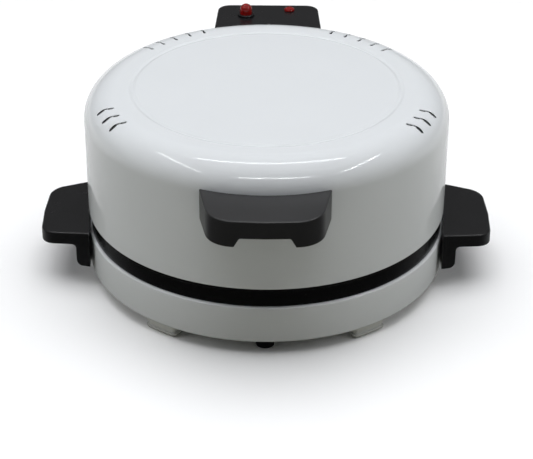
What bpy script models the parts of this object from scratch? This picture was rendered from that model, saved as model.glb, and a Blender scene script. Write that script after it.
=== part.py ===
# Round countertop pizza oven with a hinged lid. A shallow base carries a baking plate over a heating
# ring, and a deep lid with a second ring swings back on a pin behind the base.
# Metres, +Z up. The origin lies on the floor under the centre of the plate, and the front faces -Y.

import math

import bmesh
import bpy
from mathutils import Matrix, Vector

# Sides of round pieces and steps of rounded corners
SIDES = 48
HIDDEN_SIDES = 40
SMALL_SIDES = 16
SCREW_SIDES = 8
HEX_SIDES = 6
EDGE_STEPS = 2
CORNER_STEPS = 4
SHOULDER_STEPS = 6
INNER_SHOULDER_STEPS = 3
LINER_CORNER_STEPS = 3
HEATER_STEPS = 40
TUBE_RESOLUTION = 2
SHARP_ANGLE = math.radians(35)

# Clearances
GAP = 0.0003
WELD = 0.000001
OVERRUN = 0.006

# Drum
BODY_RADIUS = 0.180
FOOT_HEIGHT = 0.0130
BASE_HEIGHT = 0.0387
RING_HEIGHT = 0.0193
LID_HEIGHT = 0.1251

BASE_BOTTOM = FOOT_HEIGHT + GAP
BASE_TOP = BASE_BOTTOM + BASE_HEIGHT
RING_BOTTOM = BASE_TOP + GAP
RING_TOP = RING_BOTTOM + RING_HEIGHT
LID_BOTTOM = RING_TOP + GAP
LID_TOP = LID_BOTTOM + LID_HEIGHT

# Base shell and bottom cover
BASE_SHEET = 0.0012
BASE_EDGE = 0.0025
BASE_TOP_FLANGE = 0.0100
BASE_BOTTOM_FLANGE = 0.0320
COVER_SHEET = 0.0010
COVER_MARGIN = 0.0040
AIR_SLOTS = 8
AIR_SLOT_LENGTH = 0.034
AIR_SLOT_WIDTH = 0.005
AIR_SLOT_RADIUS = 0.098

# Rim ring: a hat section whose inner ledge carries the plate
RING_WALL = 0.0020
RING_SETBACK = 0.0023
RING_LIP_SETBACK = 0.0007
RING_LIP_HEIGHT = 0.0020
RING_LIP_EDGE = 0.0008
RING_FLANGE = 0.0135
LEDGE_DROP = 0.0096
LEDGE_WIDTH = 0.0105

# Baking plate
PLATE_CLEARANCE = 0.0015
PLATE_RIM_WIDTH = 0.0040
PLATE_SLOPE_RUN = 0.0085
PLATE_FLOOR_THICKNESS = 0.0032
PLATE_FLOOR_SINK = 0.0020
PLATE_RIM_RISE = 0.0065
PLATE_SEAT_INSET = 0.0095

# Heating rings
HEATER_INSET = 0.075
HEATER_TUBE = 0.0035
HEATER_BEND = 0.0080
HEATER_TAIL = 0.0140
HEATER_END_SPREAD = 0.0365
HEATER_HOLE_CLEARANCE = 0.0010
CLIP_COUNT = 3
CLIP_SHEET = 0.0010
CLIP_WIDTH = 0.0080
CLIP_FOOT = 0.0120
CLIP_CLEARANCE = 0.0006

# Lower reflector and what hangs under it
REFLECTOR_SHEET = 0.0008
REFLECTOR_DEPTH = 0.0190
REFLECTOR_WALL_RUN = 0.0105
REFLECTOR_FLANGE = 0.0070
THERMOSTAT_X = 0.050
THERMOSTAT_RADIUS = 0.0085
THERMOSTAT_CAP = 0.0030
THERMOSTAT_BODY_RADIUS = 0.0070
THERMOSTAT_HEIGHT = 0.0095
FUSE_Y = -0.050
FUSE_RADIUS = 0.0022
FUSE_LENGTH = 0.026
FUSE_LEAD_RADIUS = 0.0007
FUSE_LEAD = 0.008
BLOCK_Y = 0.075
BLOCK_POLES = 3
BLOCK_PITCH = 0.0100
BLOCK_DEPTH = 0.0160
BLOCK_HEIGHT = 0.0120
BLOCK_BORE = 0.0026

# Lid shell
LID_SHEET = 0.0012
LID_HEM = 0.0033
LID_HEM_EDGE = 0.0008
SHOULDER_RUN = 0.033
SHOULDER_DROP = 0.029
GROOVE_INSET = 0.015
GROOVE_WIDTH = 0.0060
GROOVE_BED = 0.0030
GROOVE_DEPTH = 0.0007

# Steam slots, as azimuths from the front, on both sides
VENT_FRONT_TURNS = [math.radians(a) for a in (59.8, 65.9, 72.2)]
VENT_REAR_TURNS = [math.radians(a) for a in (127.2, 133.8, 140.5, 147.3, 153.8)]
VENT_FRONT_INSET = 0.0100
VENT_REAR_INSET = 0.0200
VENT_LENGTH = 0.0150
VENT_FRONT_DRIFT = 0.0046
VENT_REAR_DRIFT = 0.0012
VENT_HALF_WIDTH = 0.0011
VENT_STATION_SHARES = (0.0, 0.20, 0.50, 0.80, 1.0)
VENT_DRIFT_SHARES = (1.0, 0.74, 0.07, 0.0, 0.0)
VENT_WIDTH_SHARES = (0.75, 1.0, 0.55, 1.0, 0.75)

# Lid liner and insulation
LINER_SHEET = 0.0010
LINER_AIR = 0.0100
LINER_TOP_AIR = 0.0260
LINER_CORNER = 0.020
UPPER_HEATER_DROP = 0.0120
PAD_INSET = 0.020
PAD_HOLE = 0.015

# Screws
SCREW_RADIUS = 0.0020
SCREW_HEAD_RADIUS = 0.0038
SCREW_HEAD_HEIGHT = 0.0022
SCREW_LENGTH = 0.0120
SCREW_SLOT_SHARE = 0.45
BOSS_RADIUS = 0.0050
BOSS_LENGTH = 0.0130

# Lid handle
REAR_AND_FRONT_REACH = 0.0425
LID_HANDLE_RISE = 0.0020
LID_HANDLE_HEIGHT = 0.0290
LID_HANDLE_WALL_WIDTH = 0.126
LID_HANDLE_FRONT_WIDTH = 0.098
LID_HANDLE_CORNER = 0.016
LID_HANDLE_BOW = 0.0012
LID_HANDLE_SLOPE = 0.0040
LID_HANDLE_SHELL = 0.0032
LID_HANDLE_EDGE = 0.0018
LID_HANDLE_NOTCH_RISE = 0.0090
LID_HANDLE_NOTCH_TOP = 0.046
LID_HANDLE_NOTCH_BOTTOM = 0.056
LID_HANDLE_SCREW_TURN = math.radians(12.5)
HANDLE_ROOT = 0.025

# Side handles
SIDE_HANDLE_REACH = 0.047
SIDE_HANDLE_DROP = 0.0110
SIDE_HANDLE_LIFT = 0.0094
SIDE_HANDLE_WALL_WIDTH = 0.116
SIDE_HANDLE_END_WIDTH = 0.093
SIDE_HANDLE_CORNER = 0.018
SIDE_HANDLE_BOW = 0.0020
SIDE_HANDLE_SLOPE = 0.0046
SIDE_HANDLE_SHELL = 0.0032
SIDE_HANDLE_EDGE = 0.0018
SIDE_HANDLE_LIP = 0.0130
SIDE_HANDLE_INNER = 0.0040
SIDE_HANDLE_LEG = 0.0135
SIDE_HANDLE_LEG_CORNER = 0.0070
SIDE_HANDLE_FILLET = 0.0040
SIDE_HANDLE_RIB = 0.0120
SIDE_HANDLE_SCREW_TURN = math.radians(9.5)
SIDE_HANDLE_SCREW_DROP = 0.0120

# Feet
FOOT_TURN = math.radians(35.4)
FOOT_WALL_INSET = 0.0035
FOOT_WIDTH = 0.036
FOOT_DEPTH = 0.026
FOOT_CORNER = 0.0050
FOOT_TAPER = 0.0020
FOOT_FACE_STEPS = 5
FOOT_EDGE = 0.0010
FOOT_COUNTERBORE = 0.0050
FOOT_COUNTERBORE_DEPTH = 0.0080
RUBBER_FOOT_INSET = 0.0190
RUBBER_FOOT_RADIUS = 0.0090
RUBBER_STEM_RADIUS = 0.0028
RUBBER_BULB_RADIUS = 0.0040
RUBBER_BULB_HEIGHT = 0.0035
FOOT_HOLE_CLEARANCE = 0.0005

# Hinge
HINGE_STANDOFF = 0.023
HINGE_Y = BODY_RADIUS + HINGE_STANDOFF
HINGE_Z = LID_BOTTOM
PIN_RADIUS = 0.0030
PIN_END = 0.0025
PIN_CLIP_RADIUS = 0.0060
PIN_CLIP_THICKNESS = 0.0010
HINGE_STEEL = 0.0020
HUB_RADIUS = 0.0060
LID_EAR_X = 0.026
BASE_EAR_X = 0.030
BRACKET_MARGIN = 0.004
BASE_BRACKET_LOW = 0.0107
BASE_BRACKET_HEIGHT = 0.024
BASE_EAR_HEIGHT = 0.020
LID_BRACKET_RISE = 0.012
LID_BRACKET_HEIGHT = 0.060
LID_EAR_HEIGHT = 0.034
BRACKET_SCREW_TURN = math.radians(3.6)
BRACKET_STEPS = 6

# Hinge housing on the lid
HOUSING_WIDTH = 0.115
HOUSING_TAPER = 0.0035
HOUSING_DROP = 0.0050
HOUSING_CLEARANCE = 0.0080
HOUSING_CORNER = 0.014
HOUSING_SHELL = 0.0025
HOUSING_EDGE = 0.0015
HOUSING_ROOT = 0.040
HOUSING_BOSS_INSET = 0.0127
HOUSING_BOSS_SHARE = 0.36
HOUSING_BOSS_RADIUS = 0.0062

# Hinge cover on the base
HINGE_COVER_WIDTH = 0.080
HINGE_COVER_REACH = 0.025
HINGE_COVER_LIFT = 0.0050
HINGE_COVER_DROP = 0.0080
HINGE_COVER_CORNER = 0.010
HINGE_COVER_SHELL = 0.0025
HINGE_COVER_SLOT_MARGIN = 0.0006
HINGE_COVER_SLOT_DEPTH = 0.014

# Pilot lamps
POWER_LAMP_X = -0.0237
POWER_LAMP_BACK = 0.0300
READY_LAMP_X = 0.0232
READY_LAMP_BACK = 0.0155
BEZEL_RADIUS = 0.0090
BEZEL_HEIGHT = 0.0020
BEZEL_RECESS = 0.0010
LENS_RADIUS = 0.0065
DOME_WALL = 0.0050
DOME_STEPS = 4
READY_RADIUS = 0.0056
READY_FLANGE_HEIGHT = 0.0016
READY_CROWN = 0.0010
READY_CROWN_RADIUS = 0.0036
LAMP_BARREL_RADIUS = 0.0047
LAMP_BARREL_LENGTH = 0.0140
LAMP_NUT_RADIUS = 0.0085
LAMP_NUT_HEIGHT = 0.0030

# Cord gland
GLAND_TURN = math.radians(152)
GLAND_HEIGHT_SHARE = 0.50
GLAND_FLANGE_RADIUS = 0.0095
GLAND_FLANGE = 0.0035
GLAND_BARREL_RADIUS = 0.0060
GLAND_BARREL_LENGTH = 0.0090
GLAND_BORE = 0.0036

# Sizes that follow from the ones above
RING_RADIUS = BODY_RADIUS - RING_SETBACK
RING_LIP_RADIUS = BODY_RADIUS - RING_LIP_SETBACK
RING_INNER = RING_RADIUS + RING_SETBACK - RING_FLANGE
LEDGE_TOP = RING_TOP - LEDGE_DROP
LEDGE_BOTTOM = LEDGE_TOP - RING_WALL
LEDGE_RADIUS = RING_INNER - LEDGE_WIDTH
COVER_BOTTOM = BASE_BOTTOM + BASE_SHEET + GAP
COVER_TOP = COVER_BOTTOM + COVER_SHEET
PLATE_SEAT = LEDGE_TOP + GAP
PLATE_RADIUS = RING_INNER - PLATE_CLEARANCE
PLATE_FLOOR_BOTTOM = PLATE_SEAT - PLATE_FLOOR_SINK
PLATE_FLOOR_TOP = PLATE_FLOOR_BOTTOM + PLATE_FLOOR_THICKNESS
REFLECTOR_TOP = LEDGE_BOTTOM - GAP
REFLECTOR_FLOOR = REFLECTOR_TOP - REFLECTOR_DEPTH
HEATER_RADIUS = BODY_RADIUS - HEATER_INSET
PAD_RADIUS = HEATER_RADIUS - PAD_INSET
LOWER_HEATER_Z = PLATE_FLOOR_BOTTOM - GAP - HEATER_TUBE
LINER_TOP = LID_TOP - LINER_TOP_AIR
LINER_RADIUS = BODY_RADIUS - LINER_AIR
LINER_BOTTOM = LID_BOTTOM + LID_SHEET + GAP
UPPER_HEATER_Z = LINER_TOP - LINER_SHEET - UPPER_HEATER_DROP
LID_HANDLE_TOP = LID_TOP - SHOULDER_DROP + LID_HANDLE_RISE
SIDE_HANDLE_TOP = RING_TOP - SIDE_HANDLE_DROP
SIDE_HANDLE_BOTTOM = BASE_BOTTOM + SIDE_HANDLE_LIFT
HOUSING_TOP = LID_TOP - HOUSING_DROP
HOUSING_BOTTOM = HINGE_Z + HOUSING_CLEARANCE
REAR_REACH = BODY_RADIUS + REAR_AND_FRONT_REACH
SCREW_HOLE = SCREW_RADIUS + GAP
BASE_INSIDE = BODY_RADIUS - BASE_SHEET
LID_INSIDE = BODY_RADIUS - LID_SHEET


def clear_scene():
    for obj in list(bpy.data.objects):
        bpy.data.objects.remove(obj)


def new_collection(name):
    collection = bpy.data.collections.new(name)
    bpy.context.scene.collection.children.link(collection)
    return collection


def new_material(name, color, roughness, metallic):
    material = bpy.data.materials.new(name)
    material.use_nodes = True
    shader = material.node_tree.nodes["Principled BSDF"]
    shader.inputs["Base Color"].default_value = (*color, 1.0)
    shader.inputs["Roughness"].default_value = roughness
    shader.inputs["Metallic"].default_value = metallic
    material.diffuse_color = (*color, 1.0)
    return material


# Each piece has a material of its own, made from one of these finishes
FINISHES = {
    "white_enamel": ((0.78, 0.79, 0.80), 0.22, 0.0),
    "black_moulding": ((0.035, 0.035, 0.037), 0.45, 0.0),
    "black_enamel": ((0.03, 0.03, 0.032), 0.30, 0.0),
    "nonstick": ((0.05, 0.05, 0.052), 0.40, 0.2),
    "bright_steel": ((0.62, 0.62, 0.61), 0.35, 1.0),
    "zinc_steel": ((0.55, 0.56, 0.56), 0.45, 1.0),
    "aluminised_sheet": ((0.72, 0.72, 0.70), 0.38, 1.0),
    "heater_steel": ((0.20, 0.19, 0.18), 0.50, 0.9),
    "rubber": ((0.02, 0.02, 0.02), 0.80, 0.0),
    "glass_wool": ((0.72, 0.66, 0.48), 0.95, 0.0),
    "phenolic": ((0.07, 0.05, 0.04), 0.50, 0.0),
    "white_plastic": ((0.80, 0.80, 0.79), 0.40, 0.0),
    "red_lens": ((0.55, 0.01, 0.01), 0.12, 0.0),
}


def dress(obj, finish):
    color, roughness, metallic = FINISHES[finish]
    obj.data.materials.clear()
    obj.data.materials.append(new_material(f"{obj.name}_{finish}", color, roughness, metallic))
    return obj


def keep(obj, finish, carrier):
    """Puts a piece in the oven's collection, gives it its finish and hangs it on its carrier."""
    for collection in list(obj.users_collection):
        collection.objects.unlink(obj)
    OVEN.objects.link(obj)
    if obj.type == "MESH":
        obj.data.shade_smooth()
        obj.data.set_sharp_from_angle(angle=SHARP_ANGLE)
    dress(obj, finish)
    obj.parent = carrier
    obj.matrix_parent_inverse = carrier.matrix_world.inverted()
    return obj


def hide_as_cutter(obj):
    for collection in list(obj.users_collection):
        collection.objects.unlink(obj)
    CUTTERS.objects.link(obj)
    obj.hide_render = True
    obj.display_type = "WIRE"
    return obj


def boolean(target, tool, operation):
    hide_as_cutter(tool)
    modifier = target.modifiers.new(f"{operation.lower()} {tool.name}", "BOOLEAN")
    modifier.operation = operation
    modifier.object = tool
    modifier.solver = "EXACT"
    return target


def cut(target, tool):
    return boolean(target, tool, "DIFFERENCE")


def join(target, tool):
    return boolean(target, tool, "UNION")


def object_from_bmesh(name, shape):
    mesh = bpy.data.meshes.new(name)
    shape.to_mesh(mesh)
    shape.free()
    obj = bpy.data.objects.new(name, mesh)
    CUTTERS.objects.link(obj)
    return obj


def box(name, low, high):
    """A box between two corners."""
    low, high = Vector(low), Vector(high)
    shape = bmesh.new()
    size = high - low
    bmesh.ops.create_cube(shape, size=1, matrix=Matrix.Diagonal((*size, 1)))
    obj = object_from_bmesh(name, shape)
    obj.location = (low + high) / 2
    return obj


def rod(name, radius, start, length, frame, sides):
    """A cylinder along the frame's own Z, from start, for a length."""
    shape = bmesh.new()
    middle = Matrix.Translation((0, 0, start + length / 2))
    bmesh.ops.create_cone(
        shape,
        cap_ends=True,
        segments=sides,
        radius1=radius,
        radius2=radius,
        depth=length,
        matrix=middle,
    )
    obj = object_from_bmesh(name, shape)
    obj.matrix_world = frame
    return obj


def turned(name, profile, sides=SIDES, frame=None):
    """A profile of (radius, height) points that runs out along the top, down the outside and back in
    along the underside, turned about Z. It is closed unless it starts and ends on the axis."""
    mesh = bpy.data.meshes.new(name)
    points = [(radius, 0, height) for radius, height in profile]
    edges = [(i, i + 1) for i in range(len(points) - 1)]
    if profile[0][0] > 0 or profile[-1][0] > 0:
        edges.append((len(points) - 1, 0))
    mesh.from_pydata(points, edges, [])
    obj = bpy.data.objects.new(name, mesh)
    CUTTERS.objects.link(obj)
    screw = obj.modifiers.new("turn", "SCREW")
    screw.axis = "Z"
    screw.angle = 2 * math.pi
    screw.steps = sides
    screw.render_steps = sides
    screw.use_merge_vertices = True
    screw.merge_threshold = WELD
    screw.use_smooth_shade = True
    if frame is not None:
        obj.matrix_world = frame
    return obj


def solid_from_curve(curve_object):
    """The curve's evaluated shape as one welded mesh, so that it can be cut."""
    bpy.context.view_layer.update()
    graph = bpy.context.evaluated_depsgraph_get()
    mesh = bpy.data.meshes.new_from_object(curve_object.evaluated_get(graph))
    shape = bmesh.new()
    shape.from_mesh(mesh)
    bmesh.ops.remove_doubles(shape, verts=shape.verts, dist=WELD)
    shape.to_mesh(mesh)
    shape.free()
    name = curve_object.name
    place = curve_object.matrix_world.copy()
    bpy.data.objects.remove(curve_object)
    obj = bpy.data.objects.new(name, mesh)
    CUTTERS.objects.link(obj)
    obj.matrix_world = place
    return obj


def extruded(name, outline, low, high, frame=None):
    """A flat outline in the frame's XY plane, drawn out along its Z from low to high."""
    curve = bpy.data.curves.new(name, "CURVE")
    curve.dimensions = "2D"
    curve.fill_mode = "BOTH"
    curve.extrude = (high - low) / 2
    spline = curve.splines.new("POLY")
    spline.points.add(len(outline) - 1)
    for point, (x, y) in zip(spline.points, outline):
        point.co = (x, y, 0, 1)
    spline.use_cyclic_u = True
    obj = bpy.data.objects.new(name, curve)
    CUTTERS.objects.link(obj)
    place = frame if frame is not None else Matrix.Identity(4)
    obj.matrix_world = place @ Matrix.Translation((0, 0, (low + high) / 2))
    return solid_from_curve(obj)


def tube(name, points, radius):
    curve = bpy.data.curves.new(name, "CURVE")
    curve.dimensions = "3D"
    curve.bevel_depth = radius
    curve.bevel_resolution = TUBE_RESOLUTION
    curve.use_fill_caps = True
    spline = curve.splines.new("POLY")
    spline.points.add(len(points) - 1)
    for point, place in zip(spline.points, points):
        point.co = (*place, 1)
    obj = bpy.data.objects.new(name, curve)
    CUTTERS.objects.link(obj)
    return obj


def round_edges(obj, width):
    bevel = obj.modifiers.new("edges", "BEVEL")
    bevel.width = width
    bevel.segments = EDGE_STEPS
    bevel.limit_method = "ANGLE"
    bevel.angle_limit = SHARP_ANGLE
    return obj


def outward(turn):
    """The direction away from the axis, turned from the front towards +X."""
    return Vector((math.sin(turn), -math.cos(turn), 0))


def radial_frame(turn, radius, height):
    """A frame on a cylinder about the axis, whose Z points outward and whose Y points up."""
    out = outward(turn)
    up = Vector((0, 0, 1))
    side = up.cross(out)
    frame = Matrix((side, up, out)).transposed().to_4x4()
    frame.translation = out * radius + up * height
    return frame


def standing_frame(turn):
    """A frame at the axis whose X points outward and whose Y points up."""
    out = outward(turn)
    up = Vector((0, 0, 1))
    return Matrix((out, up, out.cross(up))).transposed().to_4x4()


def sideways_frame():
    """A frame whose XY plane is the world's YZ plane, so that its Z runs along +X."""
    return Matrix(((0, 0, 1), (1, 0, 0), (0, 1, 0))).to_4x4()


def arc(center, radius, start, end, steps):
    angles = [start + (end - start) * i / steps for i in range(steps + 1)]
    return [(center[0] + radius * math.cos(a), center[1] + radius * math.sin(a)) for a in angles]


def rounded(corners):
    """An outline from (x, y, radius) corners, with an arc at each corner that has a radius."""
    outline = []
    count = len(corners)
    for i, (x, y, radius) in enumerate(corners):
        here = Vector((x, y))
        if not radius:
            outline.append((x, y))
            continue
        back = (Vector(corners[i - 1][:2]) - here).normalized()
        ahead = (Vector(corners[(i + 1) % count][:2]) - here).normalized()
        half = back.angle(ahead) / 2
        center = here + (back + ahead).normalized() * (radius / math.sin(half))
        first = here + back * (radius / math.tan(half)) - center
        last = here + ahead * (radius / math.tan(half)) - center
        start = math.atan2(first.y, first.x)
        sweep = math.atan2(first.x * last.y - first.y * last.x, first.dot(last))
        outline += arc(center, radius, start, start + sweep, CORNER_STEPS)
    return outline


def hull(points):
    """The convex outline round a set of points."""

    def chain(ordered):
        side = []
        for point in ordered:
            while len(side) > 1:
                (ax, ay), (bx, by) = side[-2], side[-1]
                if (bx - ax) * (point[1] - ay) - (by - ay) * (point[0] - ax) > 0:
                    break
                side.pop()
            side.append(point)
        return side[:-1]

    ordered = sorted(points)
    return chain(ordered) + chain(ordered[::-1])


def strip(path, thickness):
    """The outline of a bent strip of sheet metal whose middle line follows the path."""
    left, right = [], []
    for i, point in enumerate(path):
        here = Vector(point)
        back = (here - Vector(path[i - 1])).normalized() if i else None
        ahead = (Vector(path[i + 1]) - here).normalized() if i + 1 < len(path) else None
        back = back or ahead
        ahead = ahead or back
        normal = Vector((-back.y - ahead.y, back.x + ahead.x)).normalized()
        reach = thickness / 2 / normal.dot(Vector((-back.y, back.x)))
        left.append(tuple(here + normal * reach))
        right.append(tuple(here - normal * reach))
    return right + left[::-1]


def screw(name, frame, carrier, length=SCREW_LENGTH, finish="zinc_steel"):
    """A pan head screw. Its head's underside lies at the frame's origin, and it points along +Z."""
    head, shank = SCREW_HEAD_RADIUS, SCREW_RADIUS
    profile = [
        (0, length),
        (shank, length - shank),
        (shank, 0),
        (head, 0),
        (head, -SCREW_HEAD_HEIGHT / 2),
        (head * SCREW_SLOT_SHARE, -SCREW_HEAD_HEIGHT),
        (0, -SCREW_HEAD_HEIGHT),
    ]
    return keep(turned(name, profile, SCREW_SIDES, frame), finish, carrier)


def wall_screw(name, turn, inside, height, carrier):
    """A screw from inside a drum's wall outward. Returns the frame that its holes share.
    The head clears the flat middle of the wall's facets."""
    frame = radial_frame(turn, inside * math.cos(math.pi / SIDES) - GAP, height)
    screw(name, frame, carrier)
    return frame


def screw_hole(name, frame, length=SCREW_LENGTH):
    return rod(name, SCREW_HOLE, -OVERRUN, length + GAP + OVERRUN, frame, SCREW_SIDES)


def drum_cutter(name, radius, top):
    """A plain solid drum that trims a piece to sit against the wall."""
    return turned(name, [(0, top), (radius, top), (radius, 0), (0, 0)])


def shoulder(radius, top, run, drop, steps=SHOULDER_STEPS):
    """Points down the lid's rounded shoulder, from its flat top to its wall."""
    turns = [math.pi / 2 * i / steps for i in range(steps + 1)]
    return [
        (radius - run + run * math.sin(a), top - drop + drop * math.cos(a)) for a in turns
    ]


# Base


def make_base_shell():
    out, low, high = BODY_RADIUS, BASE_BOTTOM, BASE_TOP
    edge, sheet = BASE_EDGE, BASE_SHEET
    top_edge = arc((out - edge, high - edge), edge, math.pi / 2, 0, EDGE_STEPS)
    low_edge = arc((out - edge, low + edge), edge, 0, -math.pi / 2, EDGE_STEPS)
    profile = [(out - BASE_TOP_FLANGE, high), *top_edge, *low_edge]
    profile += [
        (out - BASE_BOTTOM_FLANGE, low),
        (out - BASE_BOTTOM_FLANGE, low + sheet),
        (out - edge, low + sheet),
        (out - sheet, low + edge),
        (out - sheet, high - edge),
        (out - edge, high - sheet),
        (out - BASE_TOP_FLANGE, high - sheet),
    ]
    return turned("base_shell", profile)


def make_bottom_cover():
    profile = [
        (0, COVER_TOP),
        (BASE_INSIDE - COVER_MARGIN, COVER_TOP),
        (BASE_INSIDE - COVER_MARGIN, COVER_BOTTOM),
        (0, COVER_BOTTOM),
    ]
    cover = turned("bottom_cover", profile, HIDDEN_SIDES)
    half_length, half_width = AIR_SLOT_LENGTH / 2, AIR_SLOT_WIDTH / 2
    for i in range(AIR_SLOTS):
        turn = 2 * math.pi * (i + 0.5) / AIR_SLOTS
        low = (-half_length, -half_width, -OVERRUN)
        high = (half_length, half_width, OVERRUN)
        slot = box(f"air_slot_{i + 1}", low, high)
        middle = outward(turn) * AIR_SLOT_RADIUS
        slot.location = (middle.x, middle.y, (COVER_BOTTOM + COVER_TOP) / 2)
        slot.rotation_euler = (0, 0, turn - math.pi / 2)
        cut(cover, slot)
    return cover


def make_rim_ring():
    lip, wall = RING_LIP_RADIUS, RING_RADIUS
    lip_bottom = RING_TOP - RING_LIP_HEIGHT
    under = RING_TOP - RING_WALL
    inner_outside = RING_INNER + RING_WALL
    profile = [
        (lip - RING_LIP_EDGE, RING_TOP),
        (lip, RING_TOP - RING_LIP_EDGE),
        (lip, lip_bottom),
        (wall, lip_bottom - (lip - wall)),
        (wall, RING_BOTTOM),
        (wall - RING_WALL, RING_BOTTOM),
        (wall - RING_WALL, under),
        (inner_outside, under),
        (inner_outside, LEDGE_BOTTOM),
        (LEDGE_RADIUS, LEDGE_BOTTOM),
        (LEDGE_RADIUS, LEDGE_TOP),
        (RING_INNER, LEDGE_TOP),
        (RING_INNER, RING_TOP),
    ]
    return turned("rim_ring", profile)


def make_baking_plate():
    rim_top = PLATE_FLOOR_TOP + PLATE_RIM_RISE
    rim_inside = PLATE_RADIUS - PLATE_RIM_WIDTH
    seat = PLATE_RADIUS - PLATE_SEAT_INSET
    profile = [
        (0, PLATE_FLOOR_TOP),
        (rim_inside - PLATE_SLOPE_RUN, PLATE_FLOOR_TOP),
        (rim_inside, rim_top),
        (PLATE_RADIUS, rim_top),
        (PLATE_RADIUS, PLATE_SEAT),
        (seat, PLATE_SEAT),
        (seat - PLATE_FLOOR_SINK, PLATE_FLOOR_BOTTOM),
        (0, PLATE_FLOOR_BOTTOM),
    ]
    return turned("baking_plate", profile, HIDDEN_SIDES)


def make_reflector():
    top, floor, sheet = REFLECTOR_TOP, REFLECTOR_FLOOR, REFLECTOR_SHEET
    out = RING_INNER + RING_WALL
    wall = out - REFLECTOR_FLANGE
    foot = wall - REFLECTOR_WALL_RUN
    profile = [
        (0, floor + sheet),
        (foot, floor + sheet),
        (wall, top),
        (out, top),
        (out, top - sheet),
        (wall + sheet / 2, top - sheet),
        (foot + sheet / 2, floor),
        (0, floor),
    ]
    return turned("lower_reflector", profile, HIDDEN_SIDES)


def heater_path(height, tail):
    """A ring with a gap at the back, whose ends bend up or down into straight tails."""
    half_gap = math.asin(HEATER_END_SPREAD / 2 / HEATER_RADIUS)
    start = math.pi + half_gap
    end = 3 * math.pi - half_gap
    turns = [start + (end - start) * i / HEATER_STEPS for i in range(HEATER_STEPS + 1)]
    ring = [outward(a) * HEATER_RADIUS + Vector((0, 0, height)) for a in turns]
    away = Vector((0, 0, math.copysign(1, tail)))

    def bend(place, along):
        angles = [math.pi / 2 * i / CORNER_STEPS for i in range(1, CORNER_STEPS + 1)]
        turn_points = [
            place + (along * math.sin(a) + away * (1 - math.cos(a))) * HEATER_BEND for a in angles
        ]
        return turn_points + [turn_points[-1] + away * (abs(tail) - HEATER_BEND)]

    first = bend(ring[0], (ring[0] - ring[1]).normalized())
    last = bend(ring[-1], (ring[-1] - ring[-2]).normalized())
    return first[::-1] + ring + last


def heater_holes(name, sheet, path):
    """Cuts the two holes that the ring's tails pass through."""
    radius = HEATER_TUBE + HEATER_HOLE_CLEARANCE
    for side, end in (("left", path[0]), ("right", path[-1])):
        place = Matrix.Translation(end)
        span = HEATER_BEND + HEATER_TAIL + UPPER_HEATER_DROP
        cut(sheet, rod(f"{name}_{side}", radius, -span, 2 * span, place, SCREW_SIDES))


def make_heater(name, height, tail):
    return tube(name, heater_path(height, tail), HEATER_TUBE)


def make_clip(name, turn, height, seat, carrier):
    """A bent strip under the heating ring, with a foot on the sheet at the seat height."""
    reach = HEATER_TUBE + CLIP_CLEARANCE + CLIP_SHEET / 2
    under = height - reach
    path = [
        (HEATER_RADIUS - reach, height + HEATER_TUBE / 2),
        (HEATER_RADIUS - reach, under),
        (HEATER_RADIUS + reach, under),
        (HEATER_RADIUS + reach, seat),
        (HEATER_RADIUS + reach + CLIP_FOOT, seat),
    ]
    outline = strip(path, CLIP_SHEET)
    clip = extruded(name, outline, -CLIP_WIDTH / 2, CLIP_WIDTH / 2, standing_frame(turn))
    return keep(clip, "bright_steel", carrier)


def make_clips(name, height, seat, carrier):
    """Clips round the ring, the first at the front, across from the ring's gap."""
    for i in range(CLIP_COUNT):
        make_clip(f"{name}_{i + 1}", 2 * math.pi * i / CLIP_COUNT, height, seat, carrier)


def make_thermostat():
    top = REFLECTOR_FLOOR - GAP
    profile = [
        (0, 0),
        (THERMOSTAT_RADIUS, 0),
        (THERMOSTAT_RADIUS, -THERMOSTAT_CAP),
        (THERMOSTAT_BODY_RADIUS, -THERMOSTAT_CAP),
        (THERMOSTAT_BODY_RADIUS, -THERMOSTAT_HEIGHT),
        (0, -THERMOSTAT_HEIGHT),
    ]
    place = Matrix.Translation((THERMOSTAT_X, 0, top))
    return turned("thermostat", profile, SMALL_SIDES, place)


def make_thermal_fuse():
    half, lead = FUSE_LENGTH / 2, FUSE_LENGTH / 2 + FUSE_LEAD
    profile = [
        (0, lead),
        (FUSE_LEAD_RADIUS, lead),
        (FUSE_LEAD_RADIUS, half),
        (FUSE_RADIUS, half - FUSE_RADIUS),
        (FUSE_RADIUS, FUSE_RADIUS - half),
        (FUSE_LEAD_RADIUS, -half),
        (FUSE_LEAD_RADIUS, -lead),
        (0, -lead),
    ]
    height = REFLECTOR_FLOOR - GAP - FUSE_RADIUS
    place = Matrix.Translation((0, FUSE_Y, height)) @ sideways_frame()
    return turned("thermal_fuse", profile, SCREW_SIDES, place)


def make_terminal_block(name, place):
    """A row of poles with a bore through each. Its bed lies at the place, and it stands along +Z."""
    half = BLOCK_POLES * BLOCK_PITCH / 2
    low = (-half, -BLOCK_DEPTH / 2, 0)
    high = (half, BLOCK_DEPTH / 2, BLOCK_HEIGHT)
    block = box(name, low, high)
    block.matrix_world = place @ block.matrix_basis
    across = Matrix.Rotation(math.pi / 2, 4, "X")
    for i in range(BLOCK_POLES):
        x = (i + 0.5) * BLOCK_PITCH - half
        frame = place @ Matrix.Translation((x, 0, BLOCK_HEIGHT / 2)) @ across
        bore = rod(f"{name}_bore_{i + 1}", BLOCK_BORE, -BLOCK_DEPTH, 2 * BLOCK_DEPTH, frame, SCREW_SIDES)
        cut(block, bore)
    return block


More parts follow.
